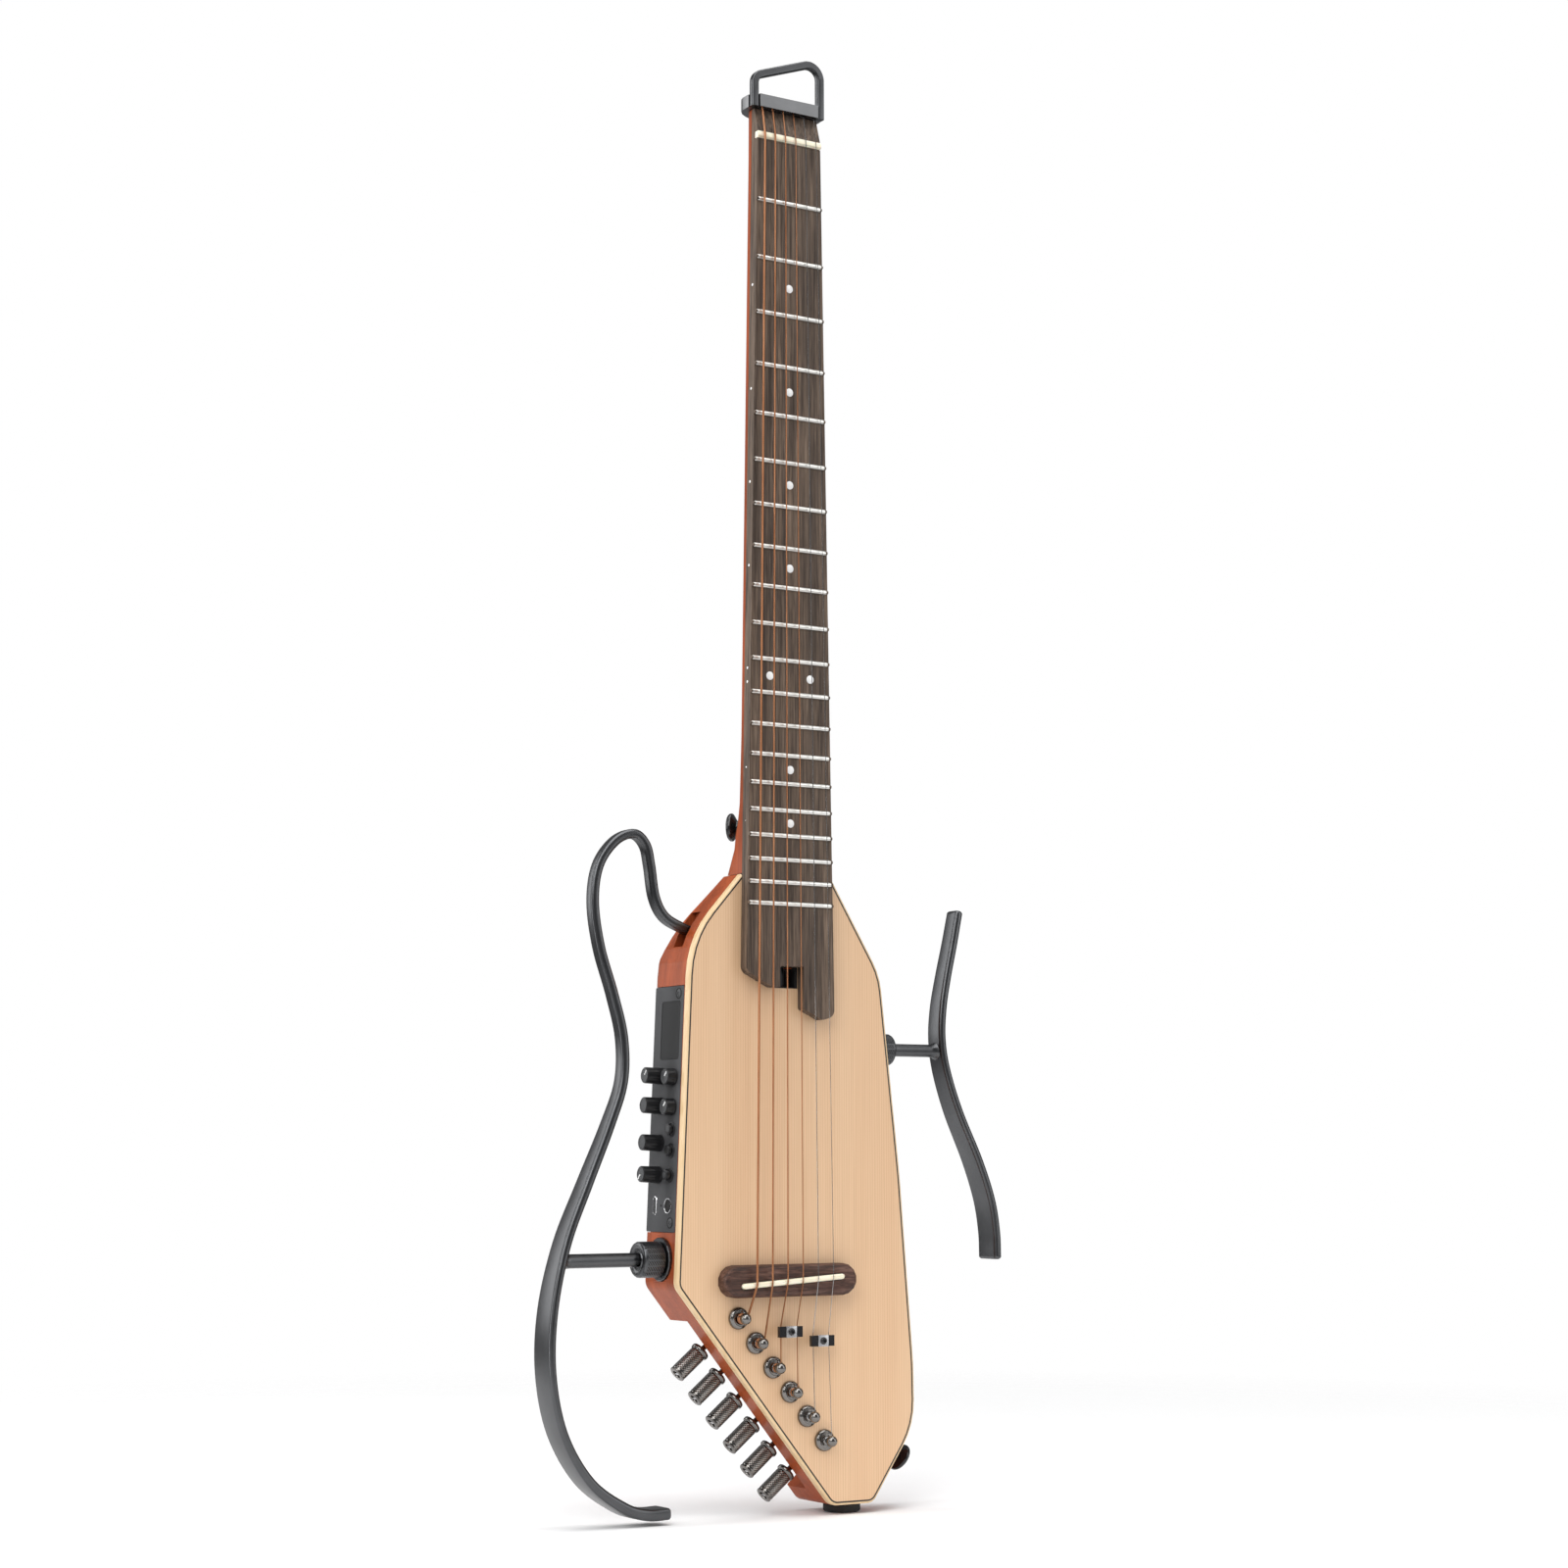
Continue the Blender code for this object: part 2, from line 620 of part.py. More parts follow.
def make_body():
    rounds = [(BACK_EDGE_ROUND * (1 - math.sin(a)), -BACK_EDGE_ROUND * (1 - math.cos(a)))
              for a in (0, math.pi / 4, math.pi / 2)]
    core = BINDING_WIDTH + TOUCH_GAP
    rim_y = SOUNDBOARD_Y + BINDING_DEPTH + TOUCH_GAP
    core_y = SOUNDBOARD_Y + SOUNDBOARD_THICKNESS + TOUCH_GAP
    levels = [*rounds, (0, rim_y), (core, rim_y), (core, core_y)]
    rings = [[Vector((x, y, z)) for x, z in body_outline(inset)] for inset, y in levels]
    body = solid("body", loft(rings), "mahogany")
    cove = []
    for step in range(9):
        t = step / 8
        weights = ((1 - t) ** 2, 2 * t * (1 - t), t * t)
        z, y = (sum(w * p[k] for w, p in zip(weights, COVE)) for k in (0, 1))
        cove.append((y, z))
    cove += [(COVE[2][1], 240.0), (10.0, 240.0), (10.0, COVE[0][0])]
    cut(body, "cove", loft([[Vector((x, y, z)) for y, z in cove] for x in (-90, 90)]))
    above = SOUNDBOARD_Y - 2
    half = TENON_HALF_WIDTH + TOUCH_GAP
    cut(body, "tenon_pocket", box((-half, above, TENON_BOTTOM_Z - TOUCH_GAP),
                                  (half, core_y + TENON_DEPTH + TOUCH_GAP, 240)))
    half = NOTCH_HALF_WIDTH - 0.6
    cut(body, "truss_pocket", box((-half, above, LEFT_TONGUE_Z + 0.4),
                                  (half, TRUSS_Y + TRUSS_NUT_RADIUS + 0.4, TENON_BOTTOM_Z + 5)))
    cut(body, "hook_recess", box(*HOOK_RECESS))
    start, beyond, inwards = TUNER_POCKET
    end = POST_SPACING * (TUNER_COUNT - 1) + beyond
    pocket = [FIRST_POST + ALONG_EDGE * a + OUT_OF_EDGE * b
              for a, b in ((start, inwards), (start, 40), (end, 40), (end, inwards))]
    cut(body, "tuner_pocket", prism([(p.x, p.z) for p in pocket], LEDGE_Y, 10))
    cut(body, "barrel_holes", merged([
        rod(post(i) + Y_AXIS * above, Y_AXIS, 23, BARREL_RADIUS + 0.3) for i in range(TUNER_COUNT)
    ]))
    panel_front = PANEL_MID_Y - PANEL_WIDTH / 2 - TOUCH_GAP
    low = (PANEL_BOTTOM_Z - TOUCH_GAP, panel_front, -PANEL_THICKNESS - TOUCH_GAP)
    cut(body, "panel_recess", side_box(low, (PANEL_TOP_Z + TOUCH_GAP, 8, 8)))
    cut(body, "cavity", box((-76, -30, 28), (CAVITY_X[1], -4, 150)))
    cut(body, "cover_opening", box((CAVITY_X[0], -5, 42), (CAVITY_X[1], 5, 144)))
    low = (COVER_X[0] - TOUCH_GAP, -COVER_THICKNESS - TOUCH_GAP, COVER_Z[0] - TOUCH_GAP)
    cut(body, "cover_recess", box(low, (COVER_X[1] + TOUCH_GAP, 5, COVER_Z[1] + TOUCH_GAP)))
    for name, x, z, side, seat in (
        ("left", LEFT_SEAT_X, LEFT_STRUT_Z, -1, RING_RADIUS),
        ("right", RIGHT_SEAT_X, RIGHT_STRUT_Z, 1, RIGHT_RING_RADIUS),
    ):
        centre = Vector((x, FRAME_AXIS_Y, z))
        bore = SOCKET_BARREL_RADIUS + TOUCH_GAP
        steps = [(-BARREL_DEPTH - TOUCH_GAP, bore), (0, bore), (0, seat + TOUCH_GAP), (12, seat + TOUCH_GAP)]
        cut(body, name + "_seat", turned(steps, centre, X_AXIS * side, ROUND_SIDES))
    return body


def make_back_cover():
    (x0, x1), (z0, z1) = COVER_X, COVER_Z
    middle = ((x0 + x1) / 2, z0, 0)
    outline = rounded([middle, (x1, z0, 0.8), (x1, z1, 0.8), (x0, z1, 0.8), (x0, z0, 0.8), middle])[:-1]
    solid("back_cover", prism(outline, -COVER_THICKNESS, -0.1), "panel_grey")


def neck_ring(z_of_x, z, depth, squareness):
    half = neck_half_width(z)
    points = []
    for step in range(15):
        t = math.pi * step / 14
        x = -half * math.copysign(abs(math.cos(t)) ** (2 / squareness), math.cos(t))
        y = SOUNDBOARD_Y + depth * abs(math.sin(t)) ** (2 / squareness)
        points.append(Vector((x, y, z_of_x(x) if z_of_x else z)))
    return points


def make_neck():
    heel = BODY_THICKNESS + COVE[2][1]
    top = NUT_Z - 10
    growth = NECK_DEPTH_AT_HEEL - NECK_DEPTH_AT_HEAD
    stations = [(HEAD_Z, NECK_DEPTH_AT_HEAD, 2.2)]
    for t in (0, 0.33, 0.66, 0.9):
        stations.append((top + (HEEL_START_Z - top) * t, NECK_DEPTH_AT_HEAD + growth * t, 2.1))
    stations += [
        (HEEL_START_Z, NECK_DEPTH_AT_HEEL + 0.3, 2.3), (252, NECK_DEPTH_AT_HEEL + 0.8, 2.7),
        (244, NECK_DEPTH_AT_HEEL + 1.6, 3.4), (236, NECK_DEPTH_AT_HEEL + 1.9, 3.9),
    ]
    rings = [neck_ring(None, *station) for station in stations]
    rings.append(neck_ring(lambda x: joint_z(x) + TOUCH_GAP, joint_z(0), heel, 12.0))
    neck = solid("neck", loft(rings), "mahogany")
    core_y = SOUNDBOARD_Y + SOUNDBOARD_THICKNESS + TOUCH_GAP
    join(neck, "tenon", box((-TENON_HALF_WIDTH, core_y, TENON_BOTTOM_Z),
                            (TENON_HALF_WIDTH, core_y + TENON_DEPTH, 232)))
    channel = TRUSS_ROD_RADIUS + 0.4
    cut(neck, "truss_channel", box((-channel, SOUNDBOARD_Y - 7, TENON_BOTTOM_Z - 5),
                                   (channel, TRUSS_Y + channel, TRUSS_TOP_Z)))
    base, axis = upper_strap_place()
    cut(neck, "strap_seat", turned([(-0.3, 5.6), (20, 5.6)], base, axis))


def make_truss_rod():
    length = TRUSS_TOP_Z - TOUCH_GAP - LEFT_TONGUE_Z - 1.2
    solid("truss_rod", turned(
        [(0, TRUSS_NUT_RADIUS), (TRUSS_NUT_LENGTH, TRUSS_NUT_RADIUS), (TRUSS_NUT_LENGTH, TRUSS_ROD_RADIUS),
         (length, TRUSS_ROD_RADIUS)], (0, TRUSS_Y, LEFT_TONGUE_Z + 1.2), Z_AXIS, 12), "gunmetal")


def fretboard_outline():
    """Around the board in (x, z): up the left side, down the right side, and back along the two tongues."""
    left, right = neck_half_width(LEFT_TONGUE_Z), neck_half_width(RIGHT_TONGUE_Z)
    top = neck_half_width(HEAD_Z)
    notch_left, notch_right = -NOTCH_HALF_WIDTH + 0.6, NOTCH_HALF_WIDTH + 1.2
    return rounded([
        (0, HEAD_Z, 0), (-top, HEAD_Z, 0), (-left, LEFT_TONGUE_Z + 8.5, 5), (-11.6, LEFT_TONGUE_Z, 1.5),
        (notch_left, LEFT_TONGUE_Z, 0), (notch_left, NOTCH_TOP_Z, 1.5), (notch_right, NOTCH_TOP_Z, 0),
        (notch_right, RIGHT_TONGUE_Z + 5.5, 1.5), (21.5, RIGHT_TONGUE_Z - 0.6, 3),
        (right, RIGHT_TONGUE_Z + 1.6, 5), (top, HEAD_Z, 0), (0, HEAD_Z, 0),
    ])[:-1]


def make_fretboard():
    """Its side profile, frets included, drawn out sideways and then trimmed to the outline."""
    profile = [(SOUNDBOARD_Y - TOUCH_GAP, 120), (FRETBOARD_Y, 120)]
    for number in range(FRET_COUNT, 0, -1):
        z = fret_z(number)
        profile += [
            (FRETBOARD_Y, z - FRET_WIDTH / 2), (FRETBOARD_Y - FRET_HEIGHT, z - FRET_WIDTH / 4),
            (FRETBOARD_Y - FRET_HEIGHT, z + FRET_WIDTH / 4), (FRETBOARD_Y, z + FRET_WIDTH / 2),
        ]
    low, high = NUT_Z - TOUCH_GAP, NUT_Z + NUT_THICKNESS + TOUCH_GAP
    end = HEAD_Z + 3
    slot_y, end_y = FRETBOARD_Y + NUT_SLOT_DEPTH, FRETBOARD_Y + (end - high) * math.tan(HEAD_SLOPE)
    profile += [
        (FRETBOARD_Y, low), (slot_y, low), (slot_y, high), (FRETBOARD_Y, high), (end_y, end),
        (SOUNDBOARD_Y - TOUCH_GAP, end),
    ]
    rings = [[Vector((x, y, z)) for y, z in profile] for x in (-40, 40)]
    board = solid("fretboard", loft(rings), "dark_board")
    boolean(board, "INTERSECT", "outline", prism(fretboard_outline(), FRETBOARD_Y - 15, SOUNDBOARD_Y + 15))


def make_nut():
    half = NUT_WIDTH / 2 + 0.05
    top, low = NUT_Y, FRETBOARD_Y + NUT_SLOT_DEPTH - TOUCH_GAP
    profile = [
        (low, 0), (top + 0.9, 0), (top, 1.0), (top, 2.6), (top + 0.5, NUT_THICKNESS), (low, NUT_THICKNESS),
    ]
    solid("nut", loft([[Vector((x, y, NUT_Z + z)) for y, z in profile] for x in (-half, half)]), "bone")


def make_soundboard():
    board = solid("soundboard", prism(body_outline(BINDING_WIDTH + TOUCH_GAP), SOUNDBOARD_Y,
                                      SOUNDBOARD_Y + SOUNDBOARD_THICKNESS), "spruce")
    half = NOTCH_HALF_WIDTH - 0.6
    cut(board, "truss_opening", box((-half, SOUNDBOARD_Y - 10, LEFT_TONGUE_Z + 0.4),
                                    (half, SOUNDBOARD_Y + 18, NOTCH_TOP_Z)))
    cut(board, "barrel_holes", merged([
        rod(post(i) + Y_AXIS * (SOUNDBOARD_Y - 7), Y_AXIS, 25, BARREL_RADIUS + 0.3)
        for i in range(TUNER_COUNT)
    ]))


def make_binding():
    strip = body_outline(0) + list(reversed(body_outline(BINDING_WIDTH)))
    solid("binding", prism(strip, SOUNDBOARD_Y, SOUNDBOARD_Y + BINDING_DEPTH), "maple")


def stadium(length, width, centre, slant=0.0, steps=7):
    """A long shape with round ends, in (x, z)."""
    reach = (length - width) / 2
    points = []
    for side in (1, -1):
        for step in range(steps + 1):
            angle = math.pi * (step / steps - 0.5)
            along, sideways = width / 2 * math.cos(angle), width / 2 * math.sin(angle)
            points.append(Vector((side * (reach + along), side * sideways)))
    turn = Matrix.Rotation(slant, 2)
    return [tuple(turn @ p + Vector(centre)) for p in points]


def make_bridge():
    centre = (0, BRIDGE_CENTRE_Z)
    foot = SOUNDBOARD_Y - TOUCH_GAP
    levels = [(0, foot), (0, BRIDGE_Y + 3.0), (0.9, BRIDGE_Y + 1.0), (3.0, BRIDGE_Y)]
    rings = [[Vector((x, y, z))
              for x, z in stadium(BRIDGE_LENGTH - 2 * inset, BRIDGE_WIDTH - 2 * inset, centre)]
             for inset, y in levels]
    bridge = solid("bridge", loft(rings), "rosewood")
    cut_length, cut_width = SADDLE_LENGTH + 2 * TOUCH_GAP, SADDLE_THICKNESS + 2 * TOUCH_GAP
    slot = stadium(cut_length, cut_width, (0, SADDLE_CENTRE_Z), SADDLE_SLANT, 4)
    cut(bridge, "saddle_slot", prism(slot, BRIDGE_Y - 5, BRIDGE_Y + SADDLE_SLOT_DEPTH))


def make_saddle():
    centre = (0, SADDLE_CENTRE_Z)
    foot = BRIDGE_Y + SADDLE_SLOT_DEPTH - TOUCH_GAP
    levels = [(0, foot), (0, SADDLE_Y + 0.8), (0.4, SADDLE_Y + 0.2), (0.9, SADDLE_Y)]
    rings = []
    for inset, y in levels:
        outline = stadium(SADDLE_LENGTH - 2 * inset, SADDLE_THICKNESS - 2 * inset, centre, SADDLE_SLANT, 4)
        rings.append([Vector((x, y, z)) for x, z in outline])
    solid("saddle", loft(rings), "bone")


# ---------------------------------------------------------------- head, strings

def clamp_outline():
    bar = LOOP_HALF_SPAN - LOOP_BAR / 2 - TOUCH_GAP
    wing = LOOP_HALF_SPAN + LOOP_BAR / 2 + 0.2
    step_y = LOOP_Y + LOOP_BAR / 2 + TOUCH_GAP
    outline = [(-wing, step_y), (-bar, step_y), (-bar, LOOP_Y - LOOP_BAR / 2 - 0.5)]
    outline += [(-x, y) for x, y in reversed(outline)]
    for step in range(13):
        angle = math.pi * step / 12
        outline.append((wing * math.cos(angle), CLAMP_MID_Y + CLAMP_BACK * math.sin(angle)))
    return outline


def make_head_clamp():
    low = HEAD_Z + TOUCH_GAP
    clamp = solid("head_clamp", tall_prism(clamp_outline(), low, low + CLAMP_HEIGHT), "grey_clamp")
    cut(clamp, "string_bores", merged([
        rod((string_x_at_nut(i), STRING_ANCHOR_Y, low - 3), Z_AXIS, 6.5, 1.8, 8) for i in range(6)
    ]))


def make_head_loop():
    low = HEAD_Z + TOUCH_GAP
    path = rounded([(-LOOP_HALF_SPAN, low, 0), (-LOOP_HALF_SPAN, HEAD_Z + LOOP_LEFT_RISE, 6),
                    (LOOP_HALF_SPAN, HEAD_Z + LOOP_RIGHT_RISE, 8), (LOOP_HALF_SPAN, low, 0)])
    solid("head_loop", bent_bar([(x, z, LOOP_BAR, LOOP_BAR) for x, z in path], LOOP_Y, 0.8), "gunmetal")


def string_points(index):
    radius = STRING_RADII[index]
    x_nut, x_saddle = string_x_at_nut(index), string_x_at_saddle(index)
    rest = STRING_REST + radius
    saddle_z = SADDLE_CENTRE_Z + x_saddle * math.tan(SADDLE_SLANT)
    end = post(index) + Vector((POST_WAIST_RADIUS + 0.35 + radius, 0, -1.0))
    end.y = SOUNDBOARD_Y - 5.0
    points = [
        Vector((x_nut, STRING_ANCHOR_Y, HEAD_Z + 3.0)), Vector((x_nut, NUT_Y - rest, NUT_Z + 1.8)),
        Vector((x_saddle, SADDLE_Y - rest, saddle_z)),
    ]
    if index >= 2:
        z = RETAINERS[0 if index < 4 else 1][1] + RETAINER_SIZE[2] / 2 + 0.4
        across_to = end - points[-1]
        points.append(Vector((x_saddle + across_to.x * (z - saddle_z) / across_to.z, RETAINED_STRING_Y, z)))
    return [*points, end]


def make_strings():
    for index in range(6):
        colour = "bronze" if index < 4 else "steel"
        solid(f"string_{index + 1}", tube(string_points(index), STRING_RADII[index], 8), colour)


def make_retainers():
    width, depth, height = RETAINER_SIZE
    for number, (offset, z) in enumerate(RETAINERS, start=1):
        x = offset + sum(string_points(2 * number + k)[-2].x for k in (0, 1)) / 2
        back = RETAINED_STRING_Y - STRING_RADII[2] - 0.4
        low, high = (x - width / 2, back - depth, z - height / 2), (x + width / 2, back, z + height / 2)
        bar = solid(f"string_retainer_{number}", box(low, high), "gloss_black", smooth=False)
        join(bar, "pillar", rod((x, back - 0.6, z), Y_AXIS, SOUNDBOARD_Y - TOUCH_GAP - back + 0.6, 1.6, 12))


# ---------------------------------------------------------------- tuners, in their own axes

def housing_shape():
    front = SOUNDBOARD_Y - TOUCH_GAP - BUSHING_RISE
    r = BUSHING_RADIUS
    profile = [
        (0, r - 1.7), (0.7, r - 0.6), (1.7, r), (BUSHING_RISE, r), (BUSHING_RISE, BARREL_RADIUS),
        (PLATE_Y - 0.3 - front, BARREL_RADIUS),
    ]
    housing = solid("housing_blank", turned(profile, (0, front, 0), Y_AXIS, 14), "black_nickel")
    join(housing, "plate", box((-6.8, LEDGE_Y + TOUCH_GAP, -9), (POST_SPACING - 7.33, PLATE_Y, 9)))
    inner, outer = LUG_REACH
    join(housing, "lugs", merged([
        box((WORM_OFFSET - 2.9, PLATE_Y - 0.6, z), (WORM_OFFSET + 2.6, WORM_Y + 2.8, z + outer - inner))
        for z in (inner, -outer)
    ]))
    post_bore = bearing_radius(POST_RADIUS, POST_SIDES)
    cut(housing, "post_bore", rod((0, -60, 0), Y_AXIS, 60, post_bore, POST_SIDES))
    worm_bore = bearing_radius(WORM_SHAFT_RADIUS, 12)
    cut(housing, "worm_bore", rod((WORM_OFFSET, WORM_Y, -20), Z_AXIS, 40, worm_bore, 12))
    return baked(housing)


def wheel_rings():
    """The worm wheel: teeth twisted to the worm's lead, with a gap facing the worm."""
    lead = WORM_PITCH / (2 * math.pi * WORM_PITCH_RADIUS)
    root, tip = WHEEL_PITCH_RADIUS - GEAR_DEDENDUM, WHEEL_PITCH_RADIUS + GEAR_ADDENDUM
    slope = math.tan(PRESSURE_ANGLE)
    at_root = (TOOTH_THICKNESS / 2 + GEAR_DEDENDUM * slope) / root
    at_tip = (TOOTH_THICKNESS / 2 - GEAR_ADDENDUM * slope) / tip
    rings = []
    for offset in (-WHEEL_WIDTH / 2, WHEEL_WIDTH / 2):
        ring_points = []
        for tooth in range(WHEEL_TEETH):
            middle = 2 * math.pi * (tooth + 0.5) / WHEEL_TEETH + lead * offset / WHEEL_PITCH_RADIUS
            for radius, angle in ((root, middle - at_root), (tip, middle - at_tip),
                                  (tip, middle + at_tip), (root, middle + at_root)):
                x, z = radius * math.cos(angle), -radius * math.sin(angle)
                ring_points.append(Vector((x, WORM_Y + offset, z)))
        rings.append(ring_points)
    return rings


def post_shape():
    back = WORM_Y + WHEEL_WIDTH / 2 + 1.6
    ball_y = SOUNDBOARD_Y - POST_BALL_RISE
    collar = SOUNDBOARD_Y - TOUCH_GAP - BUSHING_RISE - 0.4
    r, ball = POST_RADIUS, POST_BALL_RADIUS
    profile = [
        (0, r), (back - (PLATE_Y + TOUCH_GAP), r), (back - collar, r),
        (back - collar + 0.5, POST_WAIST_RADIUS),
        (back - ball_y - 2.5, POST_WAIST_RADIUS), (back - ball_y - 1.6, ball * 0.86), (back - ball_y, ball),
        (back - ball_y + 1.8, ball * 0.82), (back - ball_y + 2.8, ball * 0.43), (back - ball_y + ball, 0.5),
    ]
    made = solid("post_blank", turned(profile, (0, back, 0), -Y_AXIS, POST_SIDES), "black_nickel")
    join(made, "wheel", loft(wheel_rings()))
    hub_back, hub_front = WORM_Y - WHEEL_WIDTH / 2 + 0.3, PLATE_Y + TOUCH_GAP
    hub = rod((0, hub_back, 0), -Y_AXIS, hub_back - hub_front, WHEEL_PITCH_RADIUS - 1.2, POST_SIDES)
    join(made, "hub", hub)
    return baked(made)


def thread():
    """The worm's ridge, right-handed about the outward axis, its crest at the wheel when level with it."""
    slope = math.tan(PRESSURE_ANGLE)
    tip, foot = WORM_PITCH_RADIUS + GEAR_ADDENDUM, WORM_PITCH_RADIUS - GEAR_DEDENDUM - 0.3
    section = []
    for radius, side in ((foot, -1), (tip, -1), (tip, 1), (foot, 1)):
        section.append((radius, side * (TOOTH_THICKNESS / 2 - (radius - WORM_PITCH_RADIUS) * slope)))
    rings = []
    for step in range(8 * WORM_TURNS + 1):
        angle = 2 * math.pi * (step / 8 - WORM_TURNS / 2)
        out = WORM_PITCH * angle / (2 * math.pi)
        rings.append([Vector((-radius * math.cos(angle), radius * math.sin(angle), -(out + shift)))
                      for radius, shift in section])
    return loft(rings)


def knob_shape():
    inner, outer = LUG_REACH
    r, end = KNOB_RADIUS, KNOB_START + KNOB_LENGTH
    back = -outer - 0.6
    core = WORM_PITCH_RADIUS - GEAR_DEDENDUM
    stations = [
        (back, WORM_SHAFT_RADIUS), (TOUCH_GAP - inner, WORM_SHAFT_RADIUS), (TOUCH_GAP - inner, core),
        (inner - TOUCH_GAP, core), (inner - TOUCH_GAP, WORM_SHAFT_RADIUS), (KNOB_START, WORM_SHAFT_RADIUS),
        (KNOB_START, KNOB_COLLAR_RADIUS - 0.5), (KNOB_START + 0.5, KNOB_COLLAR_RADIUS),
        (KNOB_START + 2.0, KNOB_COLLAR_RADIUS), (KNOB_START + 2.6, r - 0.2), (KNOB_START + 3.2, r),
        (end - 1.6, r), (end - 1.4, r - 0.2), (end - 1.0, r + 0.1), (end, r - 0.5),
        (end, r - 1.9), (end - 1.6, r - 2.2),
    ]
    profile = [(along - back, radius) for along, radius in stations]
    made = solid("knob_blank", turned(profile, (0, 0, -back), -Z_AXIS, 12), "black_nickel")
    join(made, "thread", thread())
    return baked(made)


def place_tuner_part(name, mesh, frame):
    obj = place(name, mesh, "black_nickel")
    obj.matrix_world = Matrix.Translation(frame.translation * MM) @ frame.to_3x3().to_4x4()


def make_tuners():
    housing, wheel_post, knob = housing_shape(), post_shape(), knob_shape()
    for index in range(TUNER_COUNT):
        frame = tuner_frame(post(index))
        worm_frame = tuner_frame(post(index) + ALONG_EDGE * WORM_OFFSET + Y_AXIS * WORM_Y)
        place_tuner_part(f"tuner_housing_{index + 1}", housing, frame)
        place_tuner_part(f"tuner_post_{index + 1}", wheel_post, frame)
        place_tuner_part(f"tuner_knob_{index + 1}", knob, worm_frame)


# ---------------------------------------------------------------- electronics on the left side

def make_panel():
    half = PANEL_WIDTH / 2
    panel = solid("control_panel", side_rounded(PANEL_BOTTOM_Z, PANEL_TOP_Z, PANEL_MID_Y - half, PANEL_MID_Y + half,
                                                1.0, -PANEL_THICKNESS, 0), "panel_grey")
    out = side_frame().col[2].to_3d()
    cut(panel, "window_seat", window_plate(TOUCH_GAP, -1.3, 3))
    cut(panel, "dial_holes", merged([
        rod(side_point(y, z, -8), out, 16, bearing_radius(DIAL_SHAFT_RADIUS, 12), 12) for y, z, _ in DIALS
    ]))
    cut(panel, "button_holes", merged([
        rod(side_point(FRONT_ROW_Y, z, -8), out, 16, bearing_radius(BUTTON_STEM_RADIUS, 12), 12)
        for z, _, _ in BUTTONS
    ]))
    cut(panel, "jack_hole", rod(side_point(JACK_Y, SOCKET_Z, -8), out, 16, JACK_RADIUS + TOUCH_GAP, 16))
    cut(panel, "usb_hole", usb_plate(TOUCH_GAP, -8, 8))


def window_plate(grow, inner, outer):
    y, z = DISPLAY_CENTRE
    wide, tall = DISPLAY_SIZE[0] / 2 + grow, DISPLAY_SIZE[1] / 2 + grow
    return side_rounded(z - tall, z + tall, y - wide, y + wide, 1.2 + grow, inner, outer)


def usb_plate(grow, inner, outer):
    wide, tall = USB_SIZE[0] / 2 + grow, USB_SIZE[1] / 2 + grow
    return side_rounded(SOCKET_Z - tall, SOCKET_Z + tall, USB_Y - wide, USB_Y + wide, wide - 0.1, inner, outer)


def make_display():
    solid("display_window", window_plate(0, -1.0, -0.05), "display_black")


def make_circuit_board():
    front = -PANEL_THICKNESS - BOARD_GAP
    plate = side_box((30.5, -29.2, front - BOARD_THICKNESS), (147.0, -5, front))
    board = solid("circuit_board", plate, "board_green", smooth=False)
    out = side_frame().col[2].to_3d()
    reach = -front + 0.5
    join(board, "jack", rod(side_point(JACK_Y, SOCKET_Z, front - 0.5), out, reach + 0.5, JACK_RADIUS, 16))
    join(board, "usb", usb_plate(0, front - 0.5, -0.2))
    cut(board, "jack_hole", rod(side_point(JACK_Y, SOCKET_Z, -5), out, 12, JACK_HOLE_RADIUS, 12))
    cut(board, "usb_hole", usb_plate(-0.5, -6, 2))


def make_battery():
    wide, deep, tall = BATTERY_SIZE
    x, z = CAVITY_X[1] - TOUCH_GAP, 55.0
    solid("battery", box((x - wide, -30 + TOUCH_GAP, z), (x, -30 + TOUCH_GAP + deep, z + tall)), "battery_blue",
          smooth=False)


def make_dials():
    out = side_frame().col[2].to_3d()
    for number, (y, z, length) in enumerate(DIALS, start=1):
        start = side_point(y, z)
        shaft = PANEL_THICKNESS + BOARD_GAP - TOUCH_GAP
        r = DIAL_RADIUS
        profile = [
            (-shaft, DIAL_SHAFT_RADIUS), (0.4, DIAL_SHAFT_RADIUS), (0.4, r + 0.15), (length - 0.5, r - 0.1),
            (length, r - 0.6), (length, r - 1.2), (length - 0.3, r - 1.5),
        ]
        solid(f"control_knob_{number}", turned(profile, start, out, 16), "knob_black", start)


def make_buttons():
    out = side_frame().col[2].to_3d()
    for number, (z, radius, rise) in enumerate(BUTTONS, start=1):
        start = side_point(FRONT_ROW_Y, z)
        low = BUTTON_TRAVEL + TOUCH_GAP
        profile = [
            (-5.5, BUTTON_STEM_RADIUS), (low, BUTTON_STEM_RADIUS), (low, radius), (rise - 0.4, radius),
            (rise, radius - 0.4),
        ]
        solid(f"control_button_{number}", turned(profile, start, out, 12), "knob_black", start)


# ---------------------------------------------------------------- frames

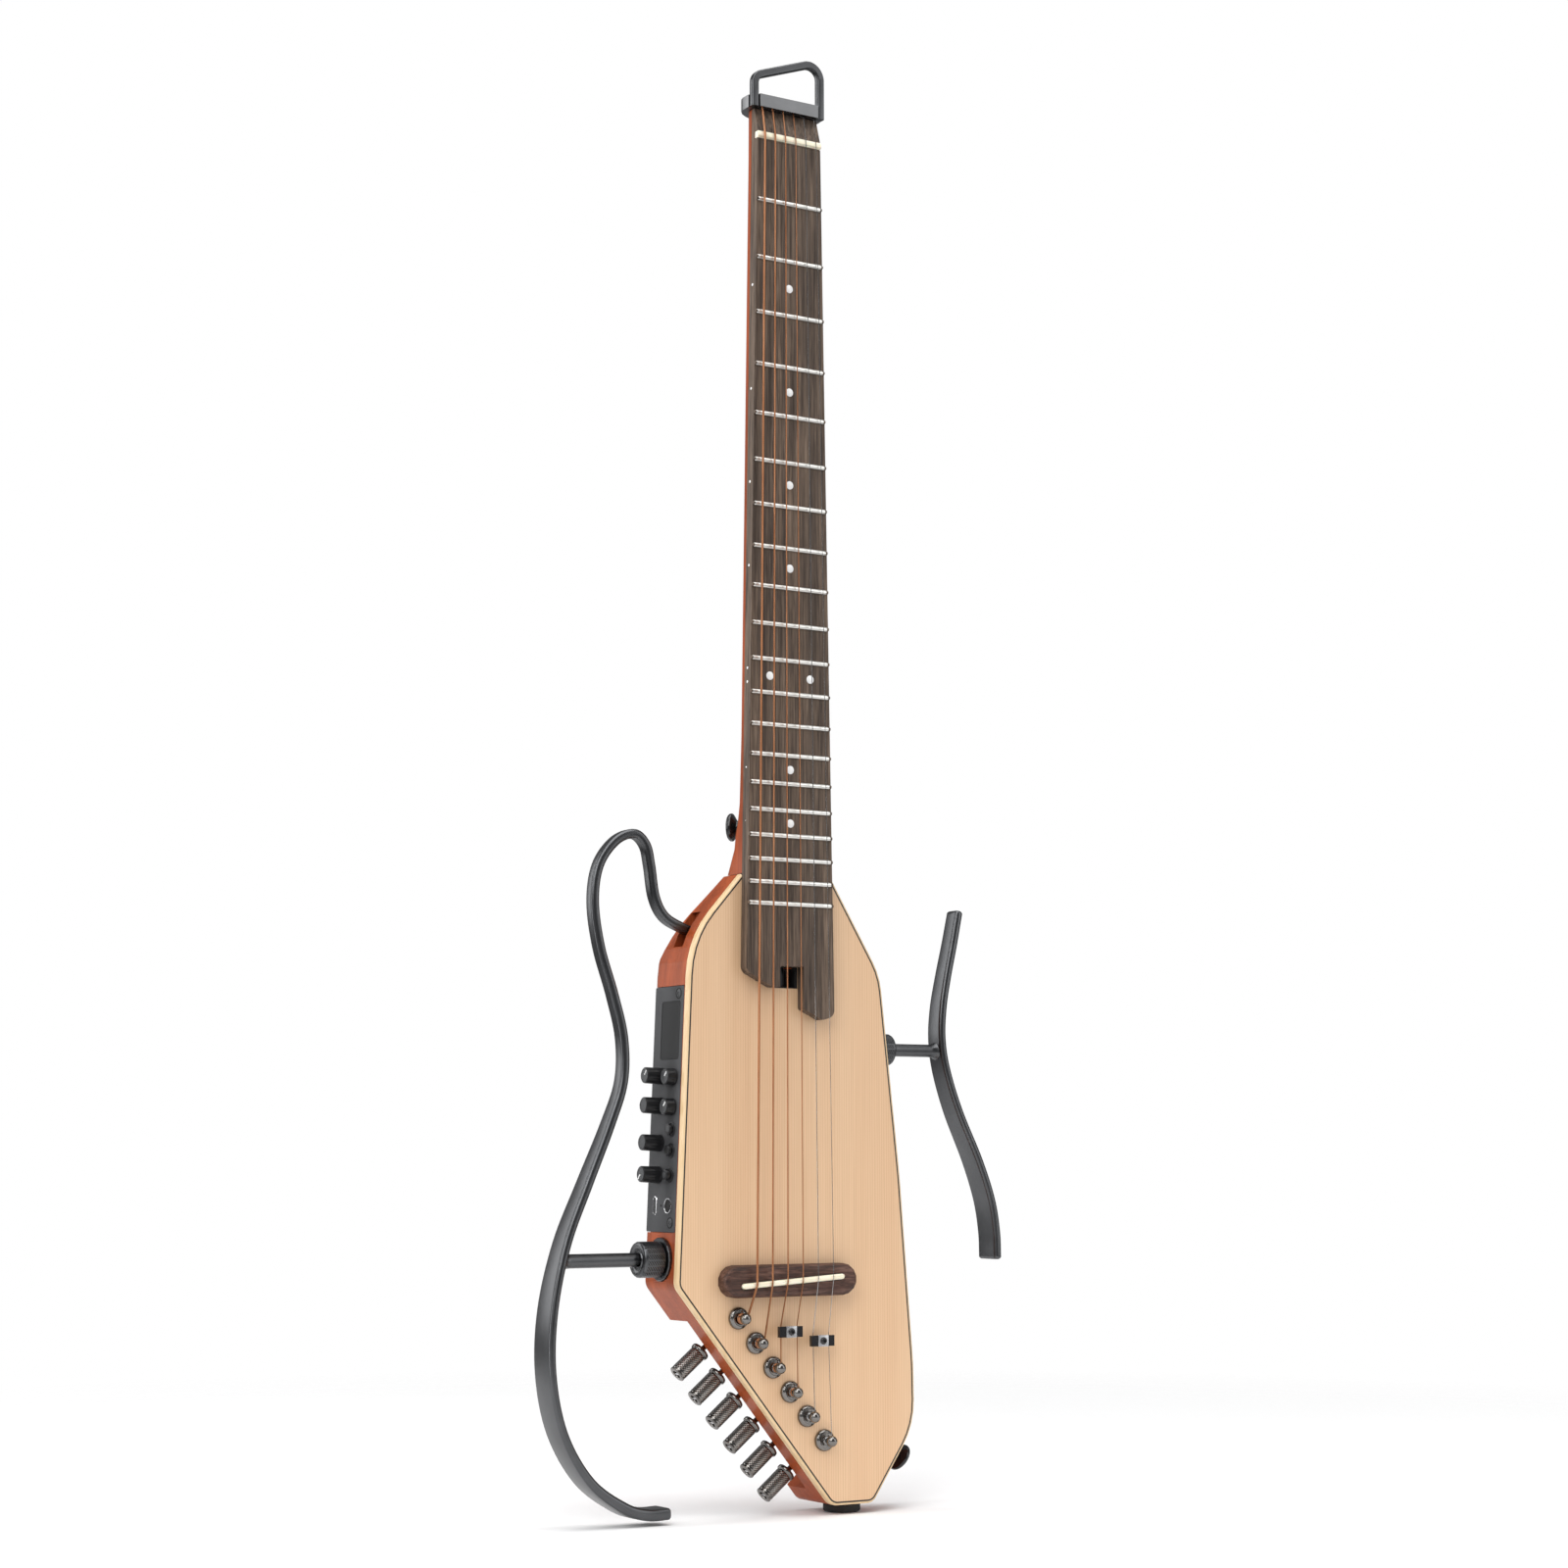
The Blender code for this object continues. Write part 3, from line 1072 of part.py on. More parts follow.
def socket(name, seat_x, z, side, ring_radius, ring_thickness, strut_radius):
    """A flanged socket let into the body, with a stud for the collar and a blind bore for the strut."""
    flange = BARREL_DEPTH
    face = flange + ring_thickness
    bore = bearing_radius(strut_radius, ROUND_SIDES)
    profile = [
        (0, SOCKET_BARREL_RADIUS), (flange, SOCKET_BARREL_RADIUS),
        (flange, ring_radius), (face - 0.4, ring_radius),
        (face, ring_radius - 0.4), (face, STUD_RADIUS), (face + STUD_LENGTH, STUD_RADIUS),
        (face + STUD_LENGTH, bore), (2.0, bore),
    ]
    start = Vector((seat_x + side * (TOUCH_GAP - BARREL_DEPTH), FRAME_AXIS_Y, z))
    solid(name, turned(profile, start, X_AXIS * side, ROUND_SIDES), "gunmetal")
    return seat_x + side * (TOUCH_GAP + ring_thickness)


def collar(name, face_x, z, side, radius, length, strut_radius):
    stud, strut = bearing_radius(STUD_RADIUS, ROUND_SIDES), bearing_radius(strut_radius, ROUND_SIDES)
    inside = STUD_LENGTH + TOUCH_GAP
    profile = [
        (0, stud), (0, radius - 0.7), (0.7, radius), (length - 1.0, radius), (length, radius - 1.0),
        (length, radius - 2.4), (length - 0.5, radius - 2.8), (length - 0.5, strut), (inside, strut),
        (inside, stud),
    ]
    start = Vector((face_x + side * TOUCH_GAP, FRAME_AXIS_Y, z))
    solid(name, ring(profile, start, X_AXIS * side, ROUND_SIDES), "gunmetal", start)


def make_left_frame():
    face = socket("left_socket", LEFT_SEAT_X, LEFT_STRUT_Z, -1, RING_RADIUS, RING_THICKNESS, STRUT_RADIUS)
    collar("left_collar_nut", face, LEFT_STRUT_Z, -1, COLLAR_RADIUS, COLLAR_LENGTH, STRUT_RADIUS)
    start = Vector((LEFT_SEAT_X + BARREL_DEPTH - 3.5, FRAME_AXIS_Y, LEFT_STRUT_Z))
    frame = solid("left_frame", bent_bar(smooth_points(LEFT_BAR, 2), FRAME_AXIS_Y), "gunmetal", start)
    reach = start.x - bar_x_at(LEFT_BAR, LEFT_STRUT_Z)
    strut = [(0, STRUT_RADIUS - 0.6), (0.6, STRUT_RADIUS), (reach, STRUT_RADIUS)]
    join(frame, "strut", turned(strut, start, -X_AXIS, ROUND_SIDES))


def make_right_rest():
    face = socket("right_socket", RIGHT_SEAT_X, RIGHT_STRUT_Z, 1, RIGHT_RING_RADIUS, RIGHT_RING_THICKNESS,
                  RIGHT_STRUT_RADIUS)
    collar("right_collar_nut", face, RIGHT_STRUT_Z, 1, RIGHT_COLLAR_RADIUS, RIGHT_COLLAR_LENGTH,
           RIGHT_STRUT_RADIUS)
    start = Vector((RIGHT_SEAT_X - BARREL_DEPTH + 3.5, FRAME_AXIS_Y, RIGHT_STRUT_Z))
    rest = solid("right_rest", bent_bar(smooth_points(RIGHT_BAR, 2), FRAME_AXIS_Y), "gunmetal", start)
    reach = bar_x_at(RIGHT_BAR, RIGHT_STRUT_Z) - start.x
    strut = [(0, RIGHT_STRUT_RADIUS - 0.6), (0.6, RIGHT_STRUT_RADIUS), (reach, RIGHT_STRUT_RADIUS)]
    join(rest, "strut", turned(strut, start, X_AXIS, ROUND_SIDES))


def bar_x_at(stations, z):
    """Where a bar's centre line crosses this height, at its point furthest from the body."""
    points = smooth_points(stations, 8)
    return max((p for p in points if abs(p[1] - z) < 4), key=lambda p: abs(p[0]) - 2 * abs(p[1] - z))[0]


# ---------------------------------------------------------------- strap buttons, foot

def upper_strap_place():
    axis = Vector((-math.sin(UPPER_STRAP_TILT), math.cos(UPPER_STRAP_TILT), 0))
    return Vector((0, SOUNDBOARD_Y, UPPER_STRAP_Z)) + axis * UPPER_STRAP_SEAT, axis


def make_strap_buttons():
    r, tall = STRAP_BUTTON_RADIUS, STRAP_BUTTON_HEIGHT
    profile = [
        (0, 5.2), (1.2, 5.2), (3.6, 3.5), (tall - 5.5, 3.7), (tall - 3.4, r - 0.7), (tall - 2.4, r),
        (tall - 0.9, r - 0.5), (tall, r - 2.6), (tall, 2.4), (tall - 0.7, 1.6),
    ]
    base, axis = upper_strap_place()
    solid("strap_button_upper", turned(profile, base, axis), "gloss_black")
    low, high = Vector(OUTLINE[4][:2]), Vector(OUTLINE[5][:2])
    spot = low.lerp(high, LOWER_STRAP_FRACTION)
    edge = (high - low).normalized()
    outward = Vector((edge.y, 0, -edge.x))
    base = Vector((spot.x, STRAP_Y, spot.y)) + outward * TOUCH_GAP
    solid("strap_button_lower", turned(profile, base, outward), "gloss_black")


def make_foot():
    top = OUTLINE[3][1] - TOUCH_GAP
    r = FOOT_RADIUS
    solid("tail_foot", turned([(0, r - 0.3), (FOOT_HEIGHT - 0.8, r), (FOOT_HEIGHT, r - 0.8)],
                              (FOOT_X, STRAP_Y, top), -Z_AXIS, 20), "rubber")


def build():
    clear_scene()
    make_body()
    make_back_cover()
    make_neck()
    make_truss_rod()
    make_fretboard()
    make_nut()
    make_soundboard()
    make_binding()
    make_bridge()
    make_saddle()
    make_head_clamp()
    make_head_loop()
    make_strings()
    make_retainers()
    make_tuners()
    make_panel()
    make_display()
    make_circuit_board()
    make_battery()
    make_dials()
    make_buttons()
    make_left_frame()
    make_right_rest()
    make_strap_buttons()
    make_foot()


build()
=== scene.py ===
"""Headless travel guitar: finishes, fine fittings, studio and camera around the fixed frame."""
import json
import math

import bmesh
import bpy
from bpy.props import FloatProperty, FloatVectorProperty, PointerProperty
from mathutils import Matrix, Vector


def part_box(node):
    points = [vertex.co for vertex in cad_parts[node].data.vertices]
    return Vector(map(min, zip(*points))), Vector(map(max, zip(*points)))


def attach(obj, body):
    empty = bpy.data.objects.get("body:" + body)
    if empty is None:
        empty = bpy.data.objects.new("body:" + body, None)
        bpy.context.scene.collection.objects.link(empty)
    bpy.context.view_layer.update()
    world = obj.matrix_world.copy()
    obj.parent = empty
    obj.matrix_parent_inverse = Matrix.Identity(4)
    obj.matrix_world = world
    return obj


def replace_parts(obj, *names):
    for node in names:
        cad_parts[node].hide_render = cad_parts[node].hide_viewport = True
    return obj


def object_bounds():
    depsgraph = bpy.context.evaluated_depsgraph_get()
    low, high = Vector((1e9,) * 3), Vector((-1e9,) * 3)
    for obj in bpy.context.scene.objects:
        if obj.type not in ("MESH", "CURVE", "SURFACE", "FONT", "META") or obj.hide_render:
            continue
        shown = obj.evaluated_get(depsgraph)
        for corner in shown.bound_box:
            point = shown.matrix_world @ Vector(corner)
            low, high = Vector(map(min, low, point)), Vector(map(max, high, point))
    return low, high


bl_info = {
    "name": "Headless Travel Guitar Looks",
    "version": (1, 0, 0),
    "blender": (4, 5, 0),
    "location": "View3D > Sidebar > Guitar",
    "description": "Finishes and fine fittings for a headless travel guitar",
    "category": "Object",
}

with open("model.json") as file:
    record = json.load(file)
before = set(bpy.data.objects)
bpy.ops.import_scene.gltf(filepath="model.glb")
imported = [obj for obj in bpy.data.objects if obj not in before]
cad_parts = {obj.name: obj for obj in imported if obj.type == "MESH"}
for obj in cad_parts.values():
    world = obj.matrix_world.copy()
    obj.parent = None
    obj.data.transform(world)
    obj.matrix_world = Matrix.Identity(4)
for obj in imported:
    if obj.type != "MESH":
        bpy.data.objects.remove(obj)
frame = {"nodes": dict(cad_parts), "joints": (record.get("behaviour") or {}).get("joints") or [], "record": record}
FRAME_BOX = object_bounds()
NODES = frame["nodes"]
JOINTS = {joint["name"]: joint for joint in frame["joints"]}
ROOT = "instrument"
MM = 0.001
X, Y, Z = Vector((1, 0, 0)), Vector((0, 1, 0)), Vector((0, 0, 1))

SCALE_LENGTH = 0.650
FRET_COUNT = 20
NECK_TAPER = 0.01516
NUT_HALF_WIDTH = 0.0215
BOARD_Y = -0.045
TOP_Y = -0.038
DOTTED_FRETS = (3, 5, 7, 9, 12, 15, 17)
TUNERS = range(1, 7)
POINTERS = (38, None, None, -140, 42, 42)
LEFT_BAR = (    # x, z, width and depth, in millimetres
    (-48.5, 188.3, 5.3, 8), (-57, 191, 5.3, 8.2), (-68, 196.7, 5.3, 8.2), (-74.3, 207.5, 5.3, 8.2),
    (-77.3, 225, 5.3, 8.2), (-80.3, 236.5, 5.3, 8.2), (-87.8, 242.3, 5.3, 8.2), (-99.6, 237.6, 5.3, 8.2),
    (-109.9, 223.5, 5.3, 8.2), (-112.9, 203, 5.3, 8.4), (-109, 178, 5.3, 8.6), (-100.5, 152, 5.3, 8.8),
    (-94.4, 128, 5.3, 9.2), (-94.6, 104, 5.3, 10), (-103, 80, 5.3, 11.5), (-117, 48, 5.2, 14),
    (-130.7, 15.5, 5, 16.5), (-139, -20, 4.6, 19.5), (-140, -54, 4.4, 20.5), (-132.8, -86, 4.6, 20.5),
    (-116.5, -112, 5.2, 20), (-95.5, -127, 6, 19), (-80.5, -131.8, 6.4, 18), (-66.5, -131.9, 6.4, 18),
)
RIGHT_BAR = (
    (131.6, 208, 5.2, 11.5), (127.2, 188, 5.2, 12), (122.4, 168, 5.1, 12.6), (118.9, 150, 5, 13.4),
    (117.8, 132, 4.8, 14.2), (120.6, 113.5, 4.8, 15.2), (129, 89, 4.8, 16.4), (142.6, 60, 4.9, 17.6),
    (151, 37, 5, 18.2), (154.4, 18, 5.1, 18.2), (155, 2, 5.1, 18.2),
)
BAR_DEPTH_Y = -0.019
STRUTS = (    # frame, its bar, and its strut's start, height and radius
    ("left_frame", LEFT_BAR, -0.0592, 0.006, 0.0039), ("right_rest", RIGHT_BAR, 0.0602, 0.1245, 0.0037),
)
STRAP_BUTTONS = (    # place and axis
    (Vector((-0.014071, -0.023929, 0.250)), Vector((-0.70711, 0.70711, 0))),
    (Vector((0.078764, -0.021, -0.103936)), Vector((0.82805, 0, -0.56050))),
)
STRING_RADII = (0.00067, 0.00053, 0.00041, 0.00031, 0.00022, 0.00018)
BINDING_WIDTH = 0.00228
BINDING_ROUND = 0.0013
DIAL_LENGTHS = (0.012, 0.012, 0.012, 0.012, 0.0062, 0.0062)
DIAL_RADIUS = 0.0048
BUTTONS = ((0.00308, 0.00296), (0.00318, 0.00316), (0.00328, 0.00396))    # radius and rise
PANEL_SCREWS = ((-0.027, 0.1534), (-0.027, 0.0262))    # depth and height, as in the next three
JACK_PLACE = (-0.0246, 0.0355)
SMALL_SOCKET_PLACE = (-0.0092, 0.0355)
STATUS_LIGHT_PLACE = (-0.0162, 0.0355)
WAVE_LENGTH = 0.314    # of Blender's wave texture at scale 1
KNURL_SPACING, KNURL_SLOPE = 0.00115, 52
LIGHTS_AIM = Vector((0, 0, 0.22))
FLOOR_REACH = 1.3
CAMERA_PLACE = (-0.8757, -1.4600, 0.0617)
CAMERA_TURN = (-0.55198, 0.11058, -0.0018)    # yaw, pitch and roll, in radians
CAMERA_LENS, CAMERA_RISE = 67.63, 0.03


# ---------------------------------------------------------------- settings a user would change

def colour_property(name, description, default):
    return FloatVectorProperty(name=name, description=description, subtype="COLOR", size=3, min=0, max=1,
                               default=default)


def length_property(name, description, default, low, high):
    return FloatProperty(name=name, description=description, default=default, min=low, max=high,
                         subtype="DISTANCE", unit="LENGTH", precision=5)


def power_property(name, description, default):
    return FloatProperty(name=name, description=description, default=default, min=0, subtype="POWER",
                         unit="POWER")


class GuitarWoods(bpy.types.PropertyGroup):
    spruce: colour_property("Spruce", "Colour of the top between its growth rings", (0.74, 0.50, 0.305))
    mahogany: colour_property("Mahogany", "Colour of the body and neck", (0.35, 0.072, 0.022))
    fingerboard: colour_property("Fingerboard", "Middle colour of the streaked fingerboard",
                                 (0.105, 0.074, 0.055))
    rosewood: colour_property("Bridge", "Middle colour of the bridge", (0.075, 0.033, 0.022))
    binding: colour_property("Binding", "Colour of the strip round the top", (0.76, 0.565, 0.345))


class GuitarMetals(bpy.types.PropertyGroup):
    gunmetal: colour_property("Gunmetal", "Colour of the frames and collars", (0.092, 0.094, 0.098))
    nickel: colour_property("Black nickel", "Colour of the tuners", (0.19, 0.18, 0.17))


class GuitarFittings(bpy.types.PropertyGroup):
    fret_width: length_property("Fret width", "Width of each crowned fret", 0.0026, 0.0024, 0.003)
    fret_height: length_property("Fret height", "Height of each fret above the board", 0.00112, 0.0008,
                                 0.0015)
    dot_radius: length_property("Dot radius", "Radius of the position dots", 0.0024, 0.001, 0.004)
    purfling_width: length_property("Purfling width", "Width of the dark line inside the binding", 0.0009,
                                    0.0003, 0.002)


class GuitarStage(bpy.types.PropertyGroup):
    floor_colour: colour_property("Floor", "Colour of the studio floor", (0.93, 0.93, 0.93))
    key_power: power_property("Key light", "Power of the large light at the left", 44)
    fill_power: power_property("Fill light", "Power of the light at the right", 16)
    strip_power: power_property("Strip light", "Power of the narrow light at the far left", 11)
    top_power: power_property("Top light", "Power of the light overhead", 58)


# ---------------------------------------------------------------- node materials

class Finish:
    """A procedural material that is built up from named steps."""

    def __init__(self, name, **sockets):
        self.material = bpy.data.materials.new(name)
        self.material.use_nodes = True
        self.nodes = self.material.node_tree.nodes
        self.links = self.material.node_tree.links
        self.shader = self.nodes["Principled BSDF"]
        for label, value in sockets.items():
            self.shader.inputs[label.replace("_", " ")].default_value = value
        self.place = self.nodes.new("ShaderNodeTexCoord").outputs["Object"]

    def node(self, kind, inputs=None, **settings):
        made = self.nodes.new("ShaderNode" + kind)
        for label, value in settings.items():
            setattr(made, label, value)
        for label, value in (inputs or {}).items():
            if isinstance(value, bpy.types.NodeSocket):
                self.links.new(value, made.inputs[label])
            else:
                made.inputs[label].default_value = value
        return made

    def stretched(self, scale, turn=(0, 0, 0)):
        return self.node("Mapping", {"Vector": self.place, "Scale": scale, "Rotation": turn}).outputs[0]

    def noise(self, scale, detail=3.0, roughness=0.5, distortion=0.0):
        made = self.node("TexNoise", {"Vector": self.stretched(scale), "Scale": 1.0, "Detail": detail,
                                      "Roughness": roughness, "Distortion": distortion})
        return made.outputs["Fac"]

    def rings(self, scale, spacing, distortion, direction="X"):
        made = self.node("TexWave", {"Vector": self.stretched(scale), "Scale": WAVE_LENGTH / spacing,
                                     "Distortion": distortion, "Detail": 2.0, "Detail Scale": 1.5},
                         bands_direction=direction)
        return made.outputs["Fac"]

    def ramp(self, value, stops):
        made = self.node("ValToRGB", {"Fac": value})
        elements = made.color_ramp.elements
        while len(elements) < len(stops):
            elements.new(0.5)
        for element, (at, colour) in zip(elements, stops):
            element.position = at
            element.color = (*colour, 1) if len(colour) == 3 else colour
        return made.outputs["Color"]

    def blend(self, amount, first, second, mode="MIX"):
        made = self.node("Mix", data_type="RGBA", blend_type=mode)
        for socket, value in ((0, amount), (6, first), (7, second)):
            if isinstance(value, bpy.types.NodeSocket):
                self.links.new(value, made.inputs[socket])
            else:
                made.inputs[socket].default_value = value if socket == 0 else (*value, 1)
        return made.outputs[2]

    def level(self, value, low, high):
        return self.node("MapRange", {"Value": value, "To Min": low, "To Max": high}).outputs[0]

    def colour(self, value):
        self.links.new(value, self.shader.inputs["Base Color"])
        return self

    def shaded(self, amount, base, over):
        """Colours the surface with the base times a second colour."""
        return self.colour(self.blend(amount, base, over, "MULTIPLY"))

    def rough(self, value):
        self.links.new(value, self.shader.inputs["Roughness"])
        return self

    def relief(self, height, distance, strength=1.0):
        bump = self.node("Bump", {"Height": height, "Distance": distance, "Strength": strength})
        self.links.new(bump.outputs[0], self.shader.inputs["Normal"])
        return self


def scaled(colour, *factors):
    factors = factors * 3 if len(factors) == 1 else factors
    return tuple(min(c * f, 1.0) for c, f in zip(colour, factors))


def spruce_finish(colour):
    """Pale quarter-sawn top: fine straight rings up the grain, wide faint bands and a thin lacquer."""
    made = Finish("spruce_top", Roughness=0.42, Coat_Weight=0.25, Coat_Roughness=0.3)
    ring = made.rings((1, 1, 0.012), 0.0016, 1.2)
    fibre = made.noise((1500, 1500, 14), 3)
    wide = made.noise((60, 60, 1.2), 2)
    pale = made.ramp(ring, [(0.0, scaled(colour, 0.93, 0.885, 0.84)), (0.35, colour),
                            (1.0, scaled(colour, 1.02))])
    streak = made.ramp(fibre, [(0.3, (0.86, 0.83, 0.8)), (0.62, (1, 1, 1))])
    grained = made.blend(0.55, pale, streak, "MULTIPLY")
    tone = made.ramp(wide, [(0.35, (0.95, 0.905, 0.87)), (0.65, (1, 1, 1))])
    made.shaded(0.75, grained, tone)
    return made.relief(fibre, 0.00004, 0.5).material


def mahogany_finish(colour):
    """Reddish wood under a gloss lacquer, with open pores along the grain."""
    made = Finish("lacquered_mahogany", Roughness=0.34, Specular_IOR_Level=0.12, Coat_Weight=0.05,
                  Coat_Roughness=0.1)
    figure = made.noise((70, 70, 5), 4, 0.6, 0.6)
    pores = made.noise((1100, 1100, 40), 3, 0.6)
    base = made.ramp(figure, [(0.25, scaled(colour, 0.62)), (0.5, colour),
                              (0.8, scaled(colour, 1.3, 1.38, 1.3))])
    dark = made.ramp(pores, [(0.34, (0.62, 0.55, 0.5)), (0.5, (1, 1, 1))])
    made.shaded(0.6, base, dark)
    return made.relief(pores, 0.00003, 0.4).material


def fingerboard_finish(colour):
    """Open-grained dark board with long grey-brown streaks."""
    made = Finish("streaked_fingerboard", Roughness=0.58, Specular_IOR_Level=0.3)
    streak = made.noise((480, 480, 15), 5, 0.65, 0.3)
    fibre = made.noise((1500, 1500, 60), 3, 0.6)
    base = made.ramp(streak, [(0.28, scaled(colour, 0.36)), (0.46, scaled(colour, 0.9)),
                              (0.58, scaled(colour, 1.45, 1.45, 1.4)), (0.75, scaled(colour, 2.5, 2.5, 2.4))])
    grain = made.ramp(fibre, [(0.36, (0.5, 0.48, 0.46)), (0.56, (1, 1, 1))])
    made.shaded(0.75, base, grain).rough(made.level(fibre, 0.72, 0.45))
    return made.relief(fibre, 0.00006, 0.6).material


def rosewood_finish(colour):
    """Bridge wood, its grain running across the strings."""
    made = Finish("rosewood_bridge", Roughness=0.5, Specular_IOR_Level=0.35)
    streak = made.noise((30, 260, 420), 5, 0.65, 0.8)
    fibre = made.noise((160, 1500, 1500), 4, 0.7)
    base = made.ramp(streak, [(0.3, scaled(colour, 0.4)), (0.5, colour),
                              (0.72, scaled(colour, 2.6, 3.1, 3.5))])
    grain = made.ramp(fibre, [(0.38, (0.3, 0.27, 0.25)), (0.56, (1, 1, 1))])
    made.shaded(0.7, base, grain)
    return made.relief(fibre, 0.00008, 0.7).material


def binding_finish(colour):
    """Pale flamed strip, with a fine darker seam near its front."""
    made = Finish("maple_binding", Roughness=0.35, Specular_IOR_Level=0.35, Coat_Weight=0.1,
                  Coat_Roughness=0.12)
    figure = made.noise((300, 300, 60), 3, 0.5, 0.4)
    base = made.ramp(figure, [(0.3, scaled(colour, 0.9, 0.86, 0.78)), (0.65, colour)])
    depth = made.node("SeparateXYZ", {"Vector": made.place}).outputs["Y"]
    seam = made.node("MapRange", {"Value": depth, "From Min": -0.0366, "From Max": -0.0361, "To Min": 0,
                                  "To Max": 1})
    line = made.ramp(seam.outputs[0], [(0.0, (1, 1, 1)), (0.5, (0.78, 0.6, 0.38)), (1.0, (0.97, 0.95, 0.9))])
    made.shaded(0.8, base, line)
    return made.relief(figure, 0.00003, 0.3).material


def metal_base(name, colour, roughness, spread=0.06, metallic=1.0):
    """Metal with slightly uneven gloss."""
    made = Finish(name, Metallic=metallic)
    cloud = made.noise((60, 60, 60), 3, 0.6)
    made.colour(made.ramp(cloud, [(0.3, scaled(colour, 0.9)), (0.7, scaled(colour, 1.08))]))
    return made.rough(made.level(cloud, roughness - spread, roughness + spread))


def metal_finish(name, colour, roughness, spread=0.06, grit=2600, depth=0.00003, metallic=1.0):
    """Metal with a fine blasted surface and slightly uneven gloss."""
    made = metal_base(name, colour, roughness, spread, metallic)
    return made.relief(made.noise((grit, grit, grit), 3, 0.6), depth, 0.5).material


def knurl_finish(name, colour, roughness):
    """Metal cut with crossed diagonal grooves, which follow the barrel's own unrolled surface."""
    made = metal_base(name, colour, roughness)
    unrolled = made.node("TexCoord").outputs["UV"]
    lines = []
    for slope in (1, -1):
        slanted = made.node("Mapping", {"Vector": unrolled,
                                        "Rotation": (0, 0, slope * math.radians(KNURL_SLOPE))})
        wave = made.node("TexWave", {"Vector": slanted.outputs[0], "Scale": WAVE_LENGTH / KNURL_SPACING})
        lines.append(wave.outputs["Fac"])
    deep = made.node("Math", {0: lines[0], 1: 0.7}, operation="MULTIPLY").outputs[0]
    height = made.node("Math", {0: lines[1], 1: 0.3, 2: deep}, operation="MULTIPLY_ADD").outputs[0]
    # Painted shade and highlight: the colour darkens down in the grooves and lightens on the ridges.
    painted_knurl_shading = made.ramp(height, [(0.15, scaled(colour, 0.25)), (0.5, scaled(colour, 0.75)),
                               (0.85, scaled(colour, 1.25))])
    return made.colour(painted_knurl_shading).relief(height, 0.00012, 0.8).material


def wound_finish():
    """Bronze wrap wire, its turns lying across the string."""
    made = Finish("wound_bronze", Metallic=1.0, Roughness=0.34)
    turns = made.rings((1, 1, 1), 0.00034, 0.0, "Z")
    age = made.noise((200, 200, 20), 3, 0.6)
    base = made.ramp(age, [(0.3, (0.36, 0.15, 0.07)), (0.7, (0.52, 0.25, 0.13))])
    # Painted shade: the colour darkens in the grooves between the turns of the wire.
    painted_turn_shade = made.ramp(turns, [(0.0, (0.45, 0.4, 0.36)), (0.5, (1, 1, 1))])
    made.shaded(0.7, base, painted_turn_shade)
    return made.relief(turns, 0.00008, 0.8).material


def moulded_finish(name, colour, roughness, grit=1400, depth=0.00005, **sockets):
    """Moulded or painted surface with a fine even texture."""
    made = Finish(name, **sockets)
    speck = made.noise((grit, grit, grit), 4, 0.65)
    cloud = made.noise((45, 45, 45), 3, 0.6)
    made.colour(made.ramp(cloud, [(0.3, scaled(colour, 0.9)), (0.7, scaled(colour, 1.1))]))
    made.rough(made.level(speck, roughness + 0.06, roughness - 0.06))
    return made.relief(speck, depth, 0.5).material


def bone_finish():
    """Polished cream with faint streaks."""
    made = Finish("polished_bone", Roughness=0.3, Subsurface_Weight=0.1, Subsurface_Scale=0.002)
    streak = made.noise((60, 900, 900), 3, 0.5)
    made.colour(made.ramp(streak, [(0.3, (0.80, 0.72, 0.52)), (0.65, (0.90, 0.85, 0.69))]))
    return made.relief(streak, 0.00002, 0.3).material


def pearl_finish():
    """White shell with a faint cool and warm swirl."""
    made = Finish("white_shell", Roughness=0.2, Coat_Weight=0.5)
    swirl = made.noise((900, 900, 900), 4, 0.6, 1.5)
    made.colour(made.ramp(swirl, [(0.3, (0.80, 0.86, 0.88)), (0.5, (0.93, 0.93, 0.92)),
                                  (0.7, (0.95, 0.90, 0.88))]))
    return made.relief(swirl, 0.00001, 0.2).material


def board_finish():
    """Green solder mask with copper tracks."""
    made = Finish("green_circuit_board", Roughness=0.35)
    tracks = made.node("TexBrick", {"Vector": made.stretched((1, 1, 1), (math.pi / 2, 0, 0)), "Scale": 120.0,
                                    "Mortar Size": 0.08, "Color1": (0.02, 0.13, 0.06, 1),
                                    "Color2": (0.015, 0.10, 0.05, 1), "Mortar": (0.05, 0.28, 0.12, 1)})
    made.colour(tracks.outputs["Color"])
    return made.relief(tracks.outputs["Fac"], 0.00005, 0.5).material


def sleeve_finish():
    """Shrink-wrapped cell sleeve with faint wrinkles."""
    made = Finish("battery_sleeve", Roughness=0.3)
    wrinkle = made.noise((300, 300, 30), 4, 0.6, 1.0)
    made.colour(made.ramp(wrinkle, [(0.3, (0.03, 0.09, 0.26)), (0.7, (0.06, 0.14, 0.36))]))
    return made.relief(wrinkle, 0.0001, 0.5).material


def glass_finish():
    """Smoked screen cover with faint smears in its gloss."""
    made = Finish("smoked_screen", Specular_IOR_Level=0.2)
    smear = made.noise((90, 200, 40), 4, 0.6, 0.5)
    made.colour(made.ramp(smear, [(0.3, (0.012, 0.0125, 0.013)), (0.7, (0.018, 0.0185, 0.019))]))
    return made.rough(made.level(smear, 0.4, 0.55)).material


